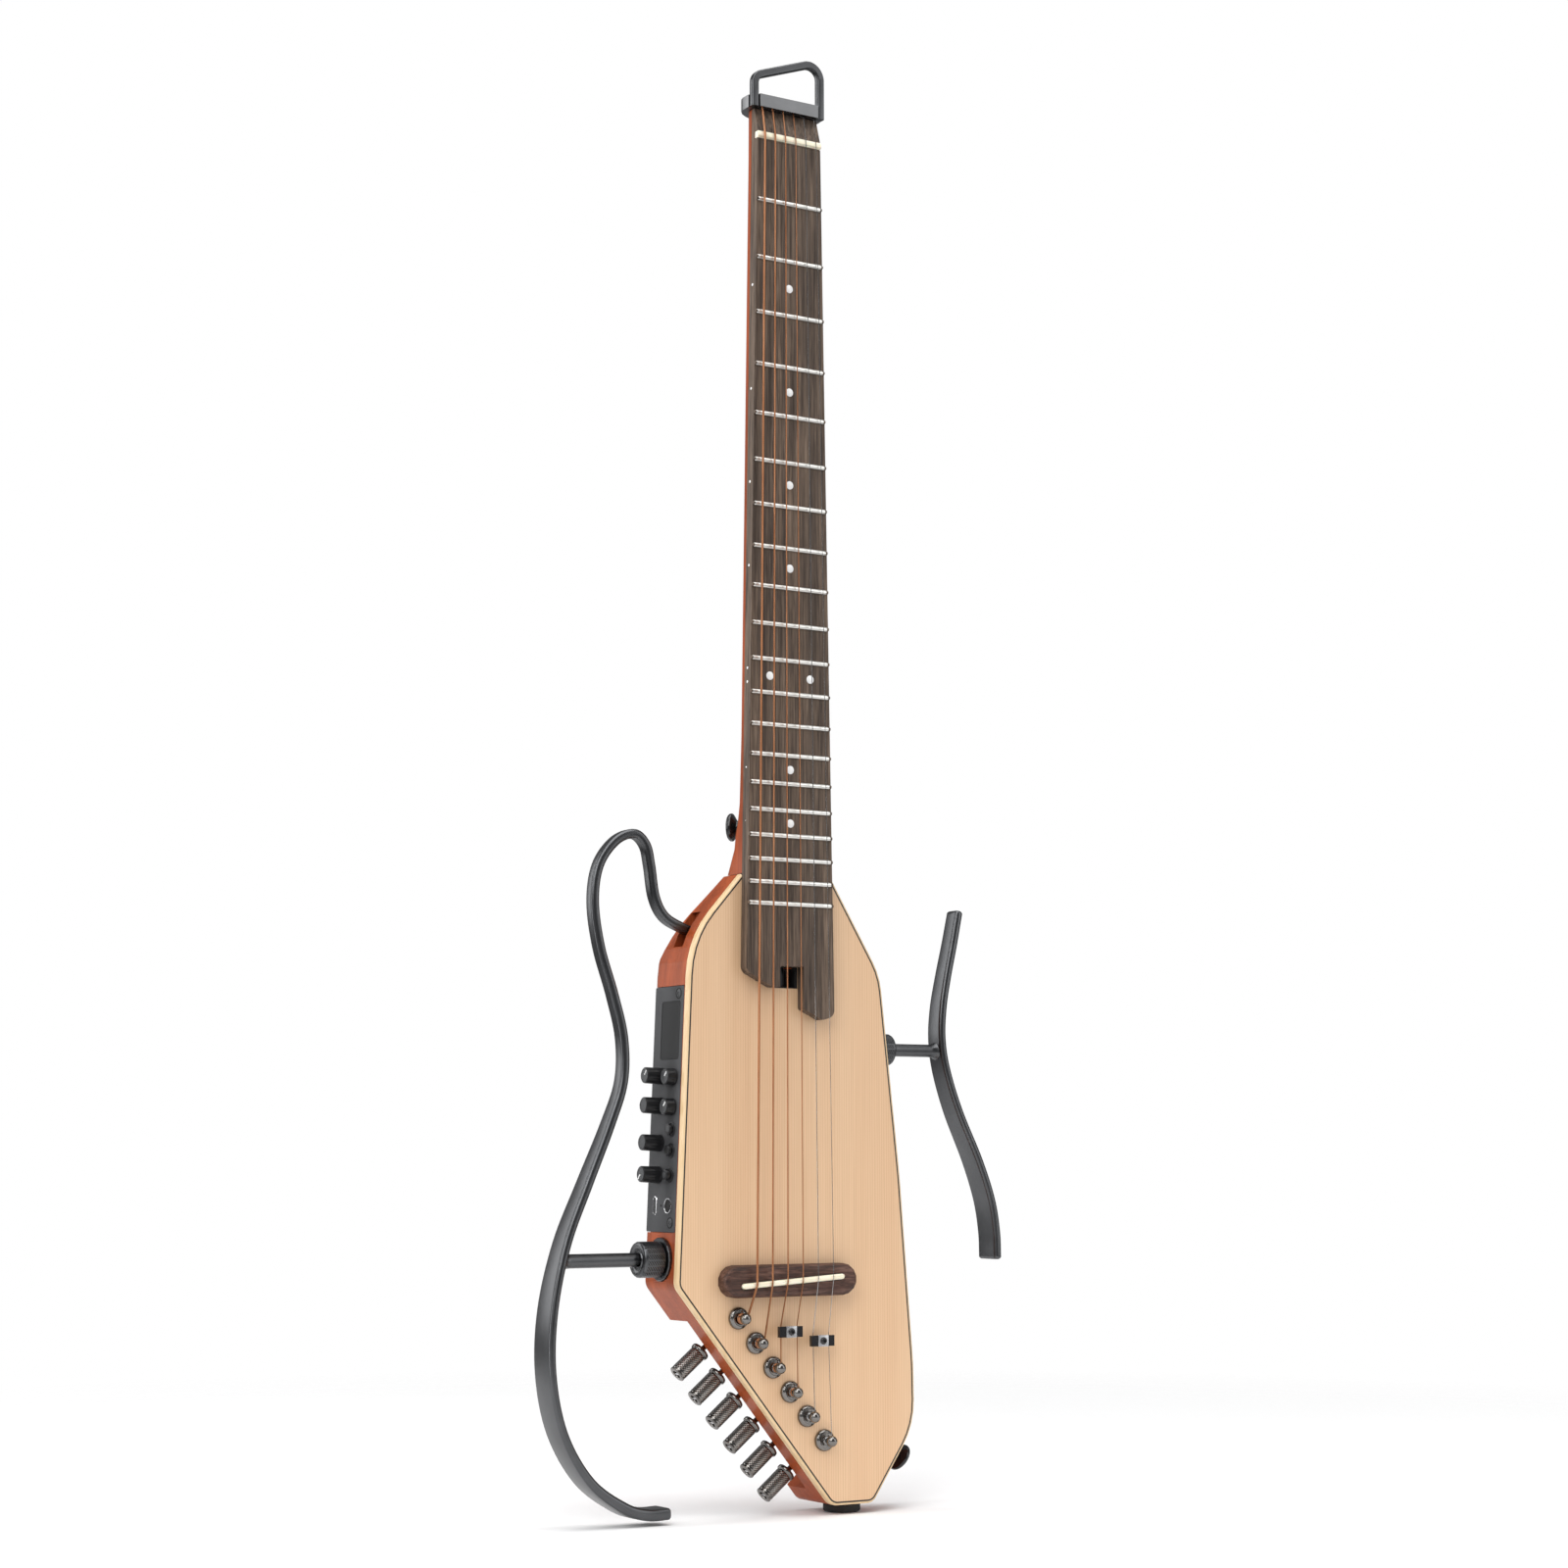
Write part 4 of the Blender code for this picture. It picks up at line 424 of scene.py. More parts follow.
def floor_finish(colour):
    """Matt white floor that fades out far from the object, so that no horizon shows."""
    made = Finish("studio_floor", Roughness=0.75)
    speck = made.noise((30, 30, 30), 3, 0.5)
    made.colour(made.ramp(speck, [(0.3, scaled(colour, 0.992)), (0.7, colour)]))
    away = made.node("VectorMath", {0: made.place}, operation="LENGTH").outputs["Value"]
    fade = made.node("MapRange", {"Value": away, "From Min": 0.42, "From Max": 1.15, "To Min": 0,
                                  "To Max": 1})
    clear = made.node("BsdfTransparent").outputs[0]
    mix = made.node("MixShader", {0: fade.outputs[0], 1: made.shader.outputs[0], 2: clear})
    made.links.new(mix.outputs[0], made.nodes["Material Output"].inputs["Surface"])
    return made.material


MATERIALS = {}


def finish(name):
    """The material of this name, made the first time it is wanted."""
    if name in MATERIALS:
        return MATERIALS[name]
    woods, metals = bpy.context.scene.guitar_woods, bpy.context.scene.guitar_metals
    makers = {
        "spruce": lambda: spruce_finish(tuple(woods.spruce)),
        "mahogany": lambda: mahogany_finish(tuple(woods.mahogany)),
        "fingerboard": lambda: fingerboard_finish(tuple(woods.fingerboard)),
        "rosewood": lambda: rosewood_finish(tuple(woods.rosewood)),
        "binding": lambda: binding_finish(tuple(woods.binding)),
        "purfling": lambda: moulded_finish("dark_purfling", (0.022, 0.016, 0.013), 0.4, 1800),
        "bone": bone_finish,
        "pearl": pearl_finish,
        "gunmetal": lambda: metal_finish("satin_gunmetal", tuple(metals.gunmetal), 0.3, 0.015, 2400,
                                         0.000002),
        "clamp": lambda: metal_finish("satin_grey_clamp", (0.22, 0.223, 0.228), 0.34, grit=1800,
                                      depth=0.000006),
        "nickel": lambda: metal_finish("black_nickel", tuple(metals.nickel), 0.16, 0.04, 1500, 0.000002),
        "chrome": lambda: metal_finish("grey_chrome", (0.55, 0.55, 0.56), 0.2, 0.04, 1500, 0.000002),
        "nickel_knurl": lambda: knurl_finish("knurled_nickel", scaled(metals.nickel, 1.5), 0.3),
        "gunmetal_knurl": lambda: knurl_finish("knurled_gunmetal", tuple(metals.gunmetal), 0.36),
        "fret_wire": lambda: metal_finish("fret_wire", (0.82, 0.81, 0.77), 0.3, 0.05, 900, 0.000002),
        "plain_steel": lambda: metal_finish("plain_steel_string", (0.38, 0.38, 0.38), 0.24, 0.05, 1800,
                                            0.00001),
        "bronze": wound_finish,
        "panel": lambda: moulded_finish("powder_coated_panel", (0.060, 0.061, 0.064), 0.6,
                                        Specular_IOR_Level=0.25),
        "knob": lambda: moulded_finish("soft_black_knob", (0.009, 0.009, 0.010), 0.36, 1900, 0.00003,
                                      Specular_IOR_Level=0.35),
        "knob_face": lambda: metal_finish("grey_knob_face", (0.075, 0.077, 0.08), 0.5, 0.05, 2200, 0.00003,
                                          0.4),
        "white_mark": lambda: moulded_finish("white_mark", (0.85, 0.85, 0.84), 0.5, 2500, 0.00001),
        "gloss_black": lambda: moulded_finish("gloss_black", (0.010, 0.010, 0.011), 0.12, 500, 0.000004),
        # Black parts, and painted shade: near-black sheets laid in pockets, holes and slots where only shade
        # falls.
        "dark_hole": lambda: moulded_finish("black_and_painted_recess_shade", (0.006, 0.006, 0.006), 0.7),
        "rubber": lambda: moulded_finish("rubber_foot", (0.018, 0.018, 0.018), 0.75, 1500, 0.0001),
        "screen": glass_finish,
        "circuit": board_finish,
        "sleeve": sleeve_finish,
    }
    MATERIALS[name] = makers[name]()
    return MATERIALS[name]


SLOT_FINISHES = {
    "mahogany": "mahogany", "panel": "panel", "fretboard_wood": "fingerboard", "bone": "bone",
    "gunmetal": "gunmetal", "spruce": "spruce", "maple": "binding", "rosewood": "rosewood",
    "gloss_black": "gloss_black", "grey_clamp": "clamp", "bronze": "bronze", "steel": "plain_steel",
    "black_nickel": "nickel", "display_glass": "screen", "board": "circuit", "battery_sleeve": "sleeve",
    "knob_black": "knob", "rubber": "rubber",
}


# ---------------------------------------------------------------- shapes

def piece(name, shape, look, body=ROOT, slot=None, smooth=35):
    """A visible piece from points and faces in the row frame, riding on a body."""
    points, faces = shape
    mesh = bpy.data.meshes.new(name)
    mesh.from_pydata([tuple(p) for p in points], [], faces)
    work = bmesh.new()
    work.from_mesh(mesh)
    bmesh.ops.remove_doubles(work, verts=work.verts, dist=1e-7)
    bmesh.ops.recalc_face_normals(work, faces=work.faces)
    work.to_mesh(mesh)
    work.free()
    return show(name, mesh, look, body, smooth)


def show(name, mesh, look, body=ROOT, smooth=35):
    obj = bpy.data.objects.new(name, mesh)
    bpy.context.scene.collection.objects.link(obj)
    mesh.materials.clear()
    mesh.materials.append(finish(look))
    mesh.shade_smooth()
    mesh.set_sharp_from_angle(angle=math.radians(smooth))
    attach(obj, body)
    return obj


def across(axis):
    axis = Vector(axis).normalized()
    side = axis.cross(Z if abs(axis.z) < 0.9 else X).normalized()
    return side, axis.cross(side)


def skin(rings, closed=True, caps=True):
    """Faces through equal rings of points."""
    count = len(rings[0])
    points = [p for ring in rings for p in ring]
    faces = []
    for i in range(len(rings) - 1):
        for j in range(count if closed else count - 1):
            k = (j + 1) % count
            faces.append((i * count + j, i * count + k, (i + 1) * count + k, (i + 1) * count + j))
    if caps and closed:
        faces.append(tuple(range(count)))
        faces.append(tuple(range((len(rings) - 1) * count, len(rings) * count)))
    return points, faces


def lathe(profile, start, axis, segments=40, caps=True):
    """A turned shape: profile is (distance along, radius)."""
    axis = Vector(axis).normalized()
    side, up = across(axis)
    turns = [2 * math.pi * k / segments for k in range(segments)]
    rings = [[Vector(start) + axis * along + (side * math.cos(a) + up * math.sin(a)) * radius for a in turns]
             for along, radius in profile]
    return skin(rings, caps=caps)


def sleeve(name, start, axis, low, high, radius, look, body, slot):
    """A knurled barrel: its surface is unrolled into metres for the knurl's grooves."""
    segments = 48
    made = piece(name, lathe([(low, radius), (high, radius)], start, axis, segments, caps=False), look, body,
                 slot)
    start, axis = Vector(start), Vector(axis).normalized()
    side, up = across(axis)
    layer = made.data.uv_layers.new(name="unrolled").data
    for face in made.data.polygons:
        spots = [made.data.vertices[made.data.loops[i].vertex_index].co - start for i in face.loop_indices]
        angles = [math.atan2(spot.dot(up), spot.dot(side)) % (2 * math.pi) for spot in spots]
        if max(angles) - min(angles) > math.pi:
            angles = [a + 2 * math.pi if a < math.pi else a for a in angles]
        for i, spot, angle in zip(face.loop_indices, spots, angles):
            layer[i].uv = (angle * radius, spot.dot(axis))
    return made


def softened(node, look, bevel, angle):
    """A frame node's own shape, its flat faces joined up, its edges eased and its curves shaded smooth."""
    work = bmesh.new()
    work.from_mesh(NODES[node].data)
    bmesh.ops.remove_doubles(work, verts=work.verts, dist=1e-6)
    bmesh.ops.dissolve_limit(work, angle_limit=math.radians(0.5), verts=work.verts, edges=work.edges)
    if bevel:
        sharp = math.radians(angle)
        edges = [e for e in work.edges if len(e.link_faces) == 2 and e.calc_face_angle(0) > sharp]
        bmesh.ops.bevel(work, geom=edges, offset=bevel, segments=2, profile=0.6, affect="EDGES",
                        clamp_overlap=True)
    mesh = bpy.data.meshes.new("soft_" + node)
    work.to_mesh(mesh)
    work.free()
    made = show("soft_" + node, mesh, look, smooth=angle)
    weighted = made.modifiers.new("even_shading", "WEIGHTED_NORMAL")
    weighted.keep_sharp = True
    weighted.weight = 100
    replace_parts(made, node)
    return made


def flowing(stations, steps):
    """Smooth rows of numbers through the stations."""
    rows = [Vector(row) for row in stations]
    rows = [rows[0] * 2 - rows[1], *rows, rows[-1] * 2 - rows[-2]]
    found = []
    for i in range(1, len(rows) - 2):
        p0, p1, p2, p3 = rows[i - 1:i + 3]
        for t in (step / steps for step in range(steps)):
            found.append(0.5 * (2 * p1 + (p2 - p0) * t + (2 * p0 - 5 * p1 + 4 * p2 - p3) * t ** 2
                                + (3 * p1 - p0 - 3 * p2 + p3) * t ** 3))
    return [*found, rows[-2]]


def rounded_section(width, depth, corner):
    """Points round a rounded rectangle, anticlockwise."""
    points = []
    for quarter, (sa, sb) in enumerate(((1, 1), (-1, 1), (-1, -1), (1, -1))):
        for k in range(6):
            a = math.pi / 2 * (quarter + k / 5)
            points.append((sa * (width / 2 - corner) + corner * math.cos(a),
                           sb * (depth / 2 - corner) + corner * math.sin(a)))
    return points


def bar(stations, depth_y, steps=8, corner=0.0021):
    """A flat bar with rounded edges along (x, z, width, depth) stations, in metres, its ends domed."""
    rows = flowing(stations, steps)
    domes = ((0.0, 0.0012), (0.0004, 0.0005), (0.0012, 0.0))    # how far in, and how much is taken off
    rings = []
    for i, (x, z, width, depth) in enumerate(rows):
        ahead, back = rows[min(i + 1, len(rows) - 1)], rows[max(i - 1, 0)]
        along = Vector((ahead[0] - back[0], 0, ahead[1] - back[1])).normalized()
        side = along.cross(Y)
        shifts = [(0.0, 0.0)]
        if i == 0:
            shifts = domes
        elif i == len(rows) - 1:
            shifts = [(-inwards, less) for inwards, less in reversed(domes)]
        for shift, less in shifts:
            middle = Vector((x, depth_y, z)) + along * shift
            section = rounded_section(width - 2 * less, depth - 2 * less, corner - less * 0.5)
            rings.append([middle + side * a + Y * b for a, b in section])
    return skin(rings)


def block(low, high, bevel):
    """A box with all its edges rounded, between two corners."""
    work = bmesh.new()
    bmesh.ops.create_cube(work, size=1)
    low, high = Vector(low), Vector(high)
    for vert in work.verts:
        vert.co = Vector((low[i] + (high[i] - low[i]) * (vert.co[i] + 0.5) for i in range(3)))
    bmesh.ops.bevel(work, geom=work.edges[:], offset=bevel, segments=3, profile=0.7, affect="EDGES")
    work.verts.index_update()
    shape = [v.co.copy() for v in work.verts], [tuple(v.index for v in face.verts) for face in work.faces]
    work.free()
    return shape


def turned_to(shape, matrix):
    points, faces = shape
    return [matrix @ Vector(p) for p in points], faces


def axes_at(place, side, up, along):
    """The matrix that lays a shape's own x, y and z along three directions, at a place."""
    return Matrix.Translation(place) @ Matrix((side, up, along)).transposed().to_4x4()


def turned(name, profile, start, axis, segments, *ride, **more):
    """A lathed piece that is open at its ends."""
    return piece(name, lathe(profile, start, axis, segments, caps=False), *ride, **more)


def middle_of(node):
    low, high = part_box(node)
    return (low + high) / 2


def together(shapes):
    points, faces = [], []
    for more_points, more_faces in shapes:
        start = len(points)
        points += more_points
        faces += [tuple(i + start for i in face) for face in more_faces]
    return points, faces


def half_width(z):
    return NUT_HALF_WIDTH + (SCALE_LENGTH - z) * NECK_TAPER


def fret_z(number):
    return SCALE_LENGTH * 2 ** (-number / 12)


def hull(points):
    """The outer corners of (x, z) points, anticlockwise."""
    points = sorted(set((round(x, 6), round(z, 6)) for x, z in points))
    sides = []
    for ordered in (points, points[::-1]):
        chain = []
        for p in ordered:
            while len(chain) > 1:
                (ax, az), (bx, bz) = chain[-2:]
                if (bx - ax) * (p[1] - az) - (bz - az) * (p[0] - ax) > 1e-12:
                    break
                chain.pop()
            chain.append(p)
        sides += chain[:-1]
    return [Vector(p) for p in sides]


def outline_of(node, depth):
    """The outer corners of a CAD node's face at this depth."""
    return hull([(v.co.x, v.co.z) for v in NODES[node].data.vertices if abs(v.co.y - depth) < 2e-5])


def moved_in(corners, distance):
    """A closed convex outline moved inwards."""
    moved = []
    count = len(corners)
    for i, here in enumerate(corners):
        first = (here - corners[i - 1]).normalized()
        second = (corners[(i + 1) % count] - here).normalized()
        normals = Vector((-first.y, first.x)), Vector((-second.y, second.x))
        bisector = (normals[0] + normals[1]).normalized()
        moved.append(here + bisector * (distance / bisector.dot(normals[0])))
    return moved


# ---------------------------------------------------------------- pieces

class GUITAR_OT_finish_frame(bpy.types.Operator):
    """Give every part of the frame its material"""
    bl_idname = "guitar.finish_frame"
    bl_label = "Finish the frame"

    def execute(self, context):
        slots = {entry["node"]: entry["material_slot"] for entry in frame["record"]["subparts"]}
        for name, node in NODES.items():
            look = finish(SLOT_FINISHES[slots[name]])
            if not node.material_slots:
                node.data.materials.append(look)
            for holder in node.material_slots:
                holder.material = look
        return {"FINISHED"}


class GUITAR_OT_top_edge(bpy.types.Operator):
    """Round the binding and lay the dark line inside it"""
    bl_idname = "guitar.top_edge"
    bl_label = "Binding and purfling"

    def execute(self, context):
        outer = outline_of("binding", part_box("binding")[0].y)
        if len(outer) < 8:
            raise RuntimeError("the binding's outline was not found")
        front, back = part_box("binding")[0].y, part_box("binding")[1].y
        longest = max(range(len(outer)), key=lambda i: (outer[i] - outer[i - 1]).length if
                      min(outer[i].y, outer[i - 1].y) > 0.2 else 0)
        turns = [math.pi / 2 * k / 5 for k in range(6)]
        edge = [(BINDING_ROUND * (1 - math.sin(a)), front + BINDING_ROUND * (1 - math.cos(a))) for a in turns]
        profile = [(BINDING_WIDTH, back), (BINDING_WIDTH, front), *edge, (0.0, back)]
        rings = self.rings(outer, longest, profile)
        points, faces = skin(rings, closed=False)
        count = len(outer)
        last = (len(rings) - 1) * count
        faces += [(j, j + 1, last + j + 1, last + j) for j in range(count - 1)]
        for end in (0, count - 1):
            faces.append(tuple(i * count + end for i in range(len(rings))))
        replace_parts(piece("rounded_binding", (points, faces), "binding"), "binding")
        inner = BINDING_ROUND + context.scene.guitar_fittings.purfling_width
        for name, look, slot, first, last in (("purfling_line", "purfling", "rosewood", BINDING_ROUND, inner),
                                              ("top_edge_seam", "spruce", "spruce", inner, 0.0028)):
            line = [(first, front + 0.0002), (first, front - 0.00003), (last, front - 0.00003),
                    (last, front + 0.0002)]
            piece(name, skin(self.rings(outer, longest, line), closed=False), look, slot=slot)
        return {"FINISHED"}

    def rings(self, outer, first, profile):
        """The outline moved in and set at a depth, for each (inset, depth), starting at one corner."""
        rings = []
        for inset, y in profile:
            corners = moved_in(outer, inset)
            rings.append([Vector((p.x, y, p.y)) for p in corners[first:] + corners[:first]])
        return rings


class GUITAR_OT_fingerboard(bpy.types.Operator):
    """Set crowned frets, dots and side dots in the board"""
    bl_idname = "guitar.fingerboard"
    bl_label = "Fingerboard"

    def execute(self, context):
        fittings = context.scene.guitar_fittings
        piece("crowned_frets", together([self.fret(fret_z(n), fittings) for n in range(1, FRET_COUNT + 1)]),
              "fret_wire", slot="steel")
        dots, side_dots = [], []
        for number in DOTTED_FRETS:
            z = (fret_z(number) + fret_z(number - 1)) / 2
            places = (-0.0135, 0.0135) if number == 12 else (0.0,)
            dots += [self.dot(Vector((x, BOARD_Y + 0.0002, z)), -Y, fittings.dot_radius,
                              0.00026) for x in places]
            for shift in ((-0.004, 0.004) if number == 12 else (0.0,)):
                edge = Vector((-half_width(z + shift) + 0.0002, BOARD_Y + 0.0036, z + shift))
                side_dots.append(self.dot(edge, -X, 0.0008, 0.0003))
        piece("position_dots", together(dots), "pearl", slot="bone")
        piece("side_dots", together(side_dots), "pearl", slot="bone")
        # Painted shade: a dark sheet fills the pocket under the fingerboard's notch.
        piece("notch_painted_shade", self.painted_notch_shade(), "dark_hole", slot="gunmetal")
        return {"FINISHED"}

    def painted_notch_shade(self):
        """A dark sheet of painted shade in the pocket round the truss rod's nut, with a thin lip on the top."""
        lip, mouth = (-0.0074, 0.0086, 0.1574, 0.1694), (-0.0069, 0.0069, 0.1580, 0.1693)
        rings = []
        for (x0, x1, z0, z1), y in ((lip, TOP_Y + 0.0002), (lip, TOP_Y - 0.0001), (mouth, TOP_Y - 0.0001),
                                    (mouth, TOP_Y + 0.0062)):
            rings.append([Vector((x, y, z)) for x, z in ((x0, z0), (x1, z0), (x1, z1), (x0, z1))])
        points, faces = skin(rings, caps=False)
        return points, [*faces, tuple(range(len(points) - 4, len(points)))]

    def fret(self, z, fittings):
        """One crowned bar with its ends rounded down to the board."""
        reach, half, tall = half_width(z) - 0.0004, fittings.fret_width / 2, fittings.fret_height
        sunk = BOARD_Y + 0.0003
        rings = []
        for end, scale in ((-1.0, 0.25), (-1 + 0.011, 0.7), (-1 + 0.03, 0.94), (-1 + 0.06, 1.0),
                           (1 - 0.06, 1.0), (1 - 0.03, 0.94), (1 - 0.011, 0.7), (1.0, 0.25)):
            ring = [Vector((end * reach, sunk, z - half * scale))]
            for k in range(9):
                a = math.pi * k / 8
                y = BOARD_Y - tall * scale * math.sin(a)
                ring.append(Vector((end * reach, y, z - half * math.cos(a) * scale)))
            ring.append(Vector((end * reach, sunk, z + half * scale)))
            rings.append(ring)
        return skin(rings)

    def dot(self, centre, axis, radius, rise):
        return lathe([(0, radius), (rise - 0.00004, radius), (rise, radius - 0.00006)], centre, axis, 32)


class GUITAR_OT_string_wraps(bpy.types.Operator):
    """Wind each string's end round the waist of its post"""
    bl_idname = "guitar.string_wraps"
    bl_label = "String ends"

    def execute(self, context):
        for number, radius in zip(TUNERS, STRING_RADII):
            centre = Vector(JOINTS[f"post_{number}_spin"]["pos_m"])
            turns = 1.9 if number < 3 else 2.4
            coil = 0.0017 + radius + 0.00008
            steps = int(turns * 20)
            path = []
            for k in range(steps + 1):
                a = 2 * math.pi * turns * k / steps
                y = TOP_Y - 0.0040 - min(2.05 * radius, 0.0011) * turns * k / steps
                path.append(Vector((centre.x + coil * math.cos(a), y, centre.z + coil * math.sin(a))))
            look = "bronze" if number < 5 else "plain_steel"
            piece(f"string_wrap_{number}", self.wire(path, radius), look, f"tuner_post_{number}")
        return {"FINISHED"}

    def wire(self, path, radius):
        rings = []
        for i, point in enumerate(path):
            along = (path[min(i + 1, len(path) - 1)] - path[max(i - 1, 0)]).normalized()
            side, up = across(along)
            rings.append([point + (side * math.cos(a) + up * math.sin(a)) * radius
                          for a in (2 * math.pi * k / 10 for k in range(10))])
        return skin(rings)


class GUITAR_OT_tuners(bpy.types.Operator):
    """Turn the posts, bushings and knurled knobs of the tuners"""
    bl_idname = "guitar.tuners"
    bl_label = "Tuners"

    def execute(self, context):
        for number in TUNERS:
            post, knob = JOINTS[f"post_{number}_spin"], JOINTS[f"tuner_{number}_turn"]
            centre = Vector(post["pos_m"])
            foot = Vector((centre.x, TOP_Y, centre.z))
            piece(f"post_head_{number}", self.post_head(foot), "nickel", f"tuner_post_{number}", smooth=50)
            piece(f"post_bushing_{number}", self.bushing(foot), "nickel", smooth=50)
            start, axis = Vector(knob["pos_m"]), Vector(knob["axis"])
            body = f"tuner_knob_{number}"
            piece(f"knob_shell_{number}", self.shell(start, axis), "nickel", body, smooth=40)
            sleeve(f"knob_knurl_{number}", start, axis, 0.0236, 0.0377, 0.00482, "nickel_knurl", body,
                   "black_nickel")
            piece(f"knob_slot_{number}", self.slot_bar(start, axis), "chrome", body, "black_nickel")
        return {"FINISHED"}

    def post_head(self, foot):
        profile = [(0.0033, 0.0025), (0.0035, 0.00254), (0.0037, 0.0024), (0.0039, 0.0018), (0.0041, 0.00176),
                   (0.0059, 0.00176), (0.0061, 0.0019)]
        ball, centre = 0.00316, 0.0085
        start = math.radians(-48)
        for k in range(15):
            a = start + (math.pi / 2 - start) * k / 14
            profile.append((centre + ball * math.sin(a), max(ball * math.cos(a), 0.00004)))
        return lathe(profile, foot, -Y, 32)

    def bushing(self, foot):
        profile = [(0.0003, 0.00616), (0.0009, 0.00616)]
        profile += [(0.0010 + 0.00226 * math.sin(a), 0.0033 + 0.00286 * math.cos(a))
                    for a in (math.pi / 2 * k / 9 for k in range(10))]
        profile += [(0.0032, 0.0029), (0.0028, 0.00275)]
        return lathe(profile, foot, -Y, 48, caps=False)

    def shell(self, start, axis):
        mm = [(19.95, 1.6), (19.95, 4.9), (20.1, 5.3), (20.5, 5.55), (21.7, 5.56), (22.2, 5.3), (22.4, 4.85),
              (22.8, 4.55), (23.3, 4.74), (23.7, 4.74), (37.6, 4.74), (38.1, 4.76), (38.5, 4.76),
              (38.8, 4.58), (39.05, 4.6), (39.3, 4.86), (39.9, 4.86), (40.18, 4.6), (40.28, 4.2),
              (40.28, 2.75), (40.0, 2.55), (38.7, 2.5), (38.7, 0.02)]
        return lathe([(a * MM, r * MM) for a, r in mm], start, axis, 48)

    def slot_bar(self, start, axis):
        bar = block((-0.0023, -0.00055, 0.0386), (0.0023, 0.00055, 0.0398), 0.0002)
        return turned_to(bar, axes_at(start, *across(axis), Vector(axis)))


class GUITAR_OT_side_frames(bpy.types.Operator):
    """Sweep the two bent side bars and run their struts into them"""
    bl_idname = "guitar.side_frames"
    bl_label = "Side frames"

    def execute(self, context):
        for node, stations, start_x, z, radius in STRUTS:
            rows = [tuple(value * MM for value in row) for row in stations]
            bent = piece(node + "_bar", bar(rows, BAR_DEPTH_Y), "gunmetal", node, smooth=60)
            crossing = min(flowing(rows, 16), key=lambda row: abs(row[1] - z))[0]
            outward = -1 if start_x < 0 else 1
            reach = abs(crossing - start_x)
            profile = [(0, radius - 0.0006), (0.0006, radius), (reach - 0.0068, radius),
                       (reach - 0.0045, radius + 0.0003), (reach - 0.0033, radius + 0.0009),
                       (reach - 0.0020, radius + 0.0017)]
            strut = lathe(profile, (start_x, BAR_DEPTH_Y, z), X * outward)
            strut = piece(node + "_strut", strut, "gunmetal", node)
            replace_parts(bent, node)
            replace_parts(strut, node)
        return {"FINISHED"}


class GUITAR_OT_soft_wood(bpy.types.Operator):
    """Ease the edges of the body, neck, clamp, loop and bridge"""
    bl_idname = "guitar.soft_wood"
    bl_label = "Eased edges"

    def execute(self, context):
        for node, look, bevel, angle in (
            ("body", "mahogany", 0.0, 24), ("neck", "mahogany", 0.0, 28), ("bridge", "rosewood", 0.0011, 24),
            ("head_clamp", "clamp", 0.0004, 35), ("head_loop", "gunmetal", 0.0, 50),
            ("control_panel", "panel", 0.0, 30), ("saddle", "bone", 0.0, 24), ("nut", "bone", 0.0003, 30),
        ):
            softened(node, look, bevel, angle)
        return {"FINISHED"}


class GUITAR_OT_collars(bpy.types.Operator):
    """Knurl the two collar nuts and turn their shells, with rings on their ends"""
    bl_idname = "guitar.collars"
    bl_label = "Collar nuts"

    def execute(self, context):
        for side in ("left", "right"):
            low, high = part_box(f"{side}_collar_nut")
            axis = Vector(JOINTS[f"{side}_collar_turn"]["axis"])
            near = high.x if axis.x < 0 else low.x
            start = Vector((near, (low.y + high.y) / 2, (low.z + high.z) / 2))
            long, r = high.x - low.x, (high.z - low.z) / 2 + 0.00006
            body = f"{side}_collar_nut"
            profile = [(0.0, r - 0.0007), (0.0002, r - 0.0002), (0.0007, r), (0.0016, r),
                       (0.0019, r - 0.0003), (long - 0.0023, r - 0.0003), (long - 0.002, r),
                       (long - 0.0011, r), (long - 0.0003, r - 0.0004), (long + 0.00004, r - 0.0011),
                       (long + 0.00004, r - 0.0023), (long - 0.0004, r - 0.0028),
                       (long - 0.00045, r - 0.0040), (long + 0.0001, r - 0.0044),
                       (long + 0.0001, r - 0.0050), (long - 0.0004, r - 0.0053)]
            turned(f"{side}_collar_shell", profile, start, axis, 64, "gunmetal", body, smooth=40)
            sleeve(f"{side}_collar_knurl", start, axis, 0.0016, long - 0.0019, r + 0.00004, "gunmetal_knurl",
                   body, "gunmetal")
        return {"FINISHED"}


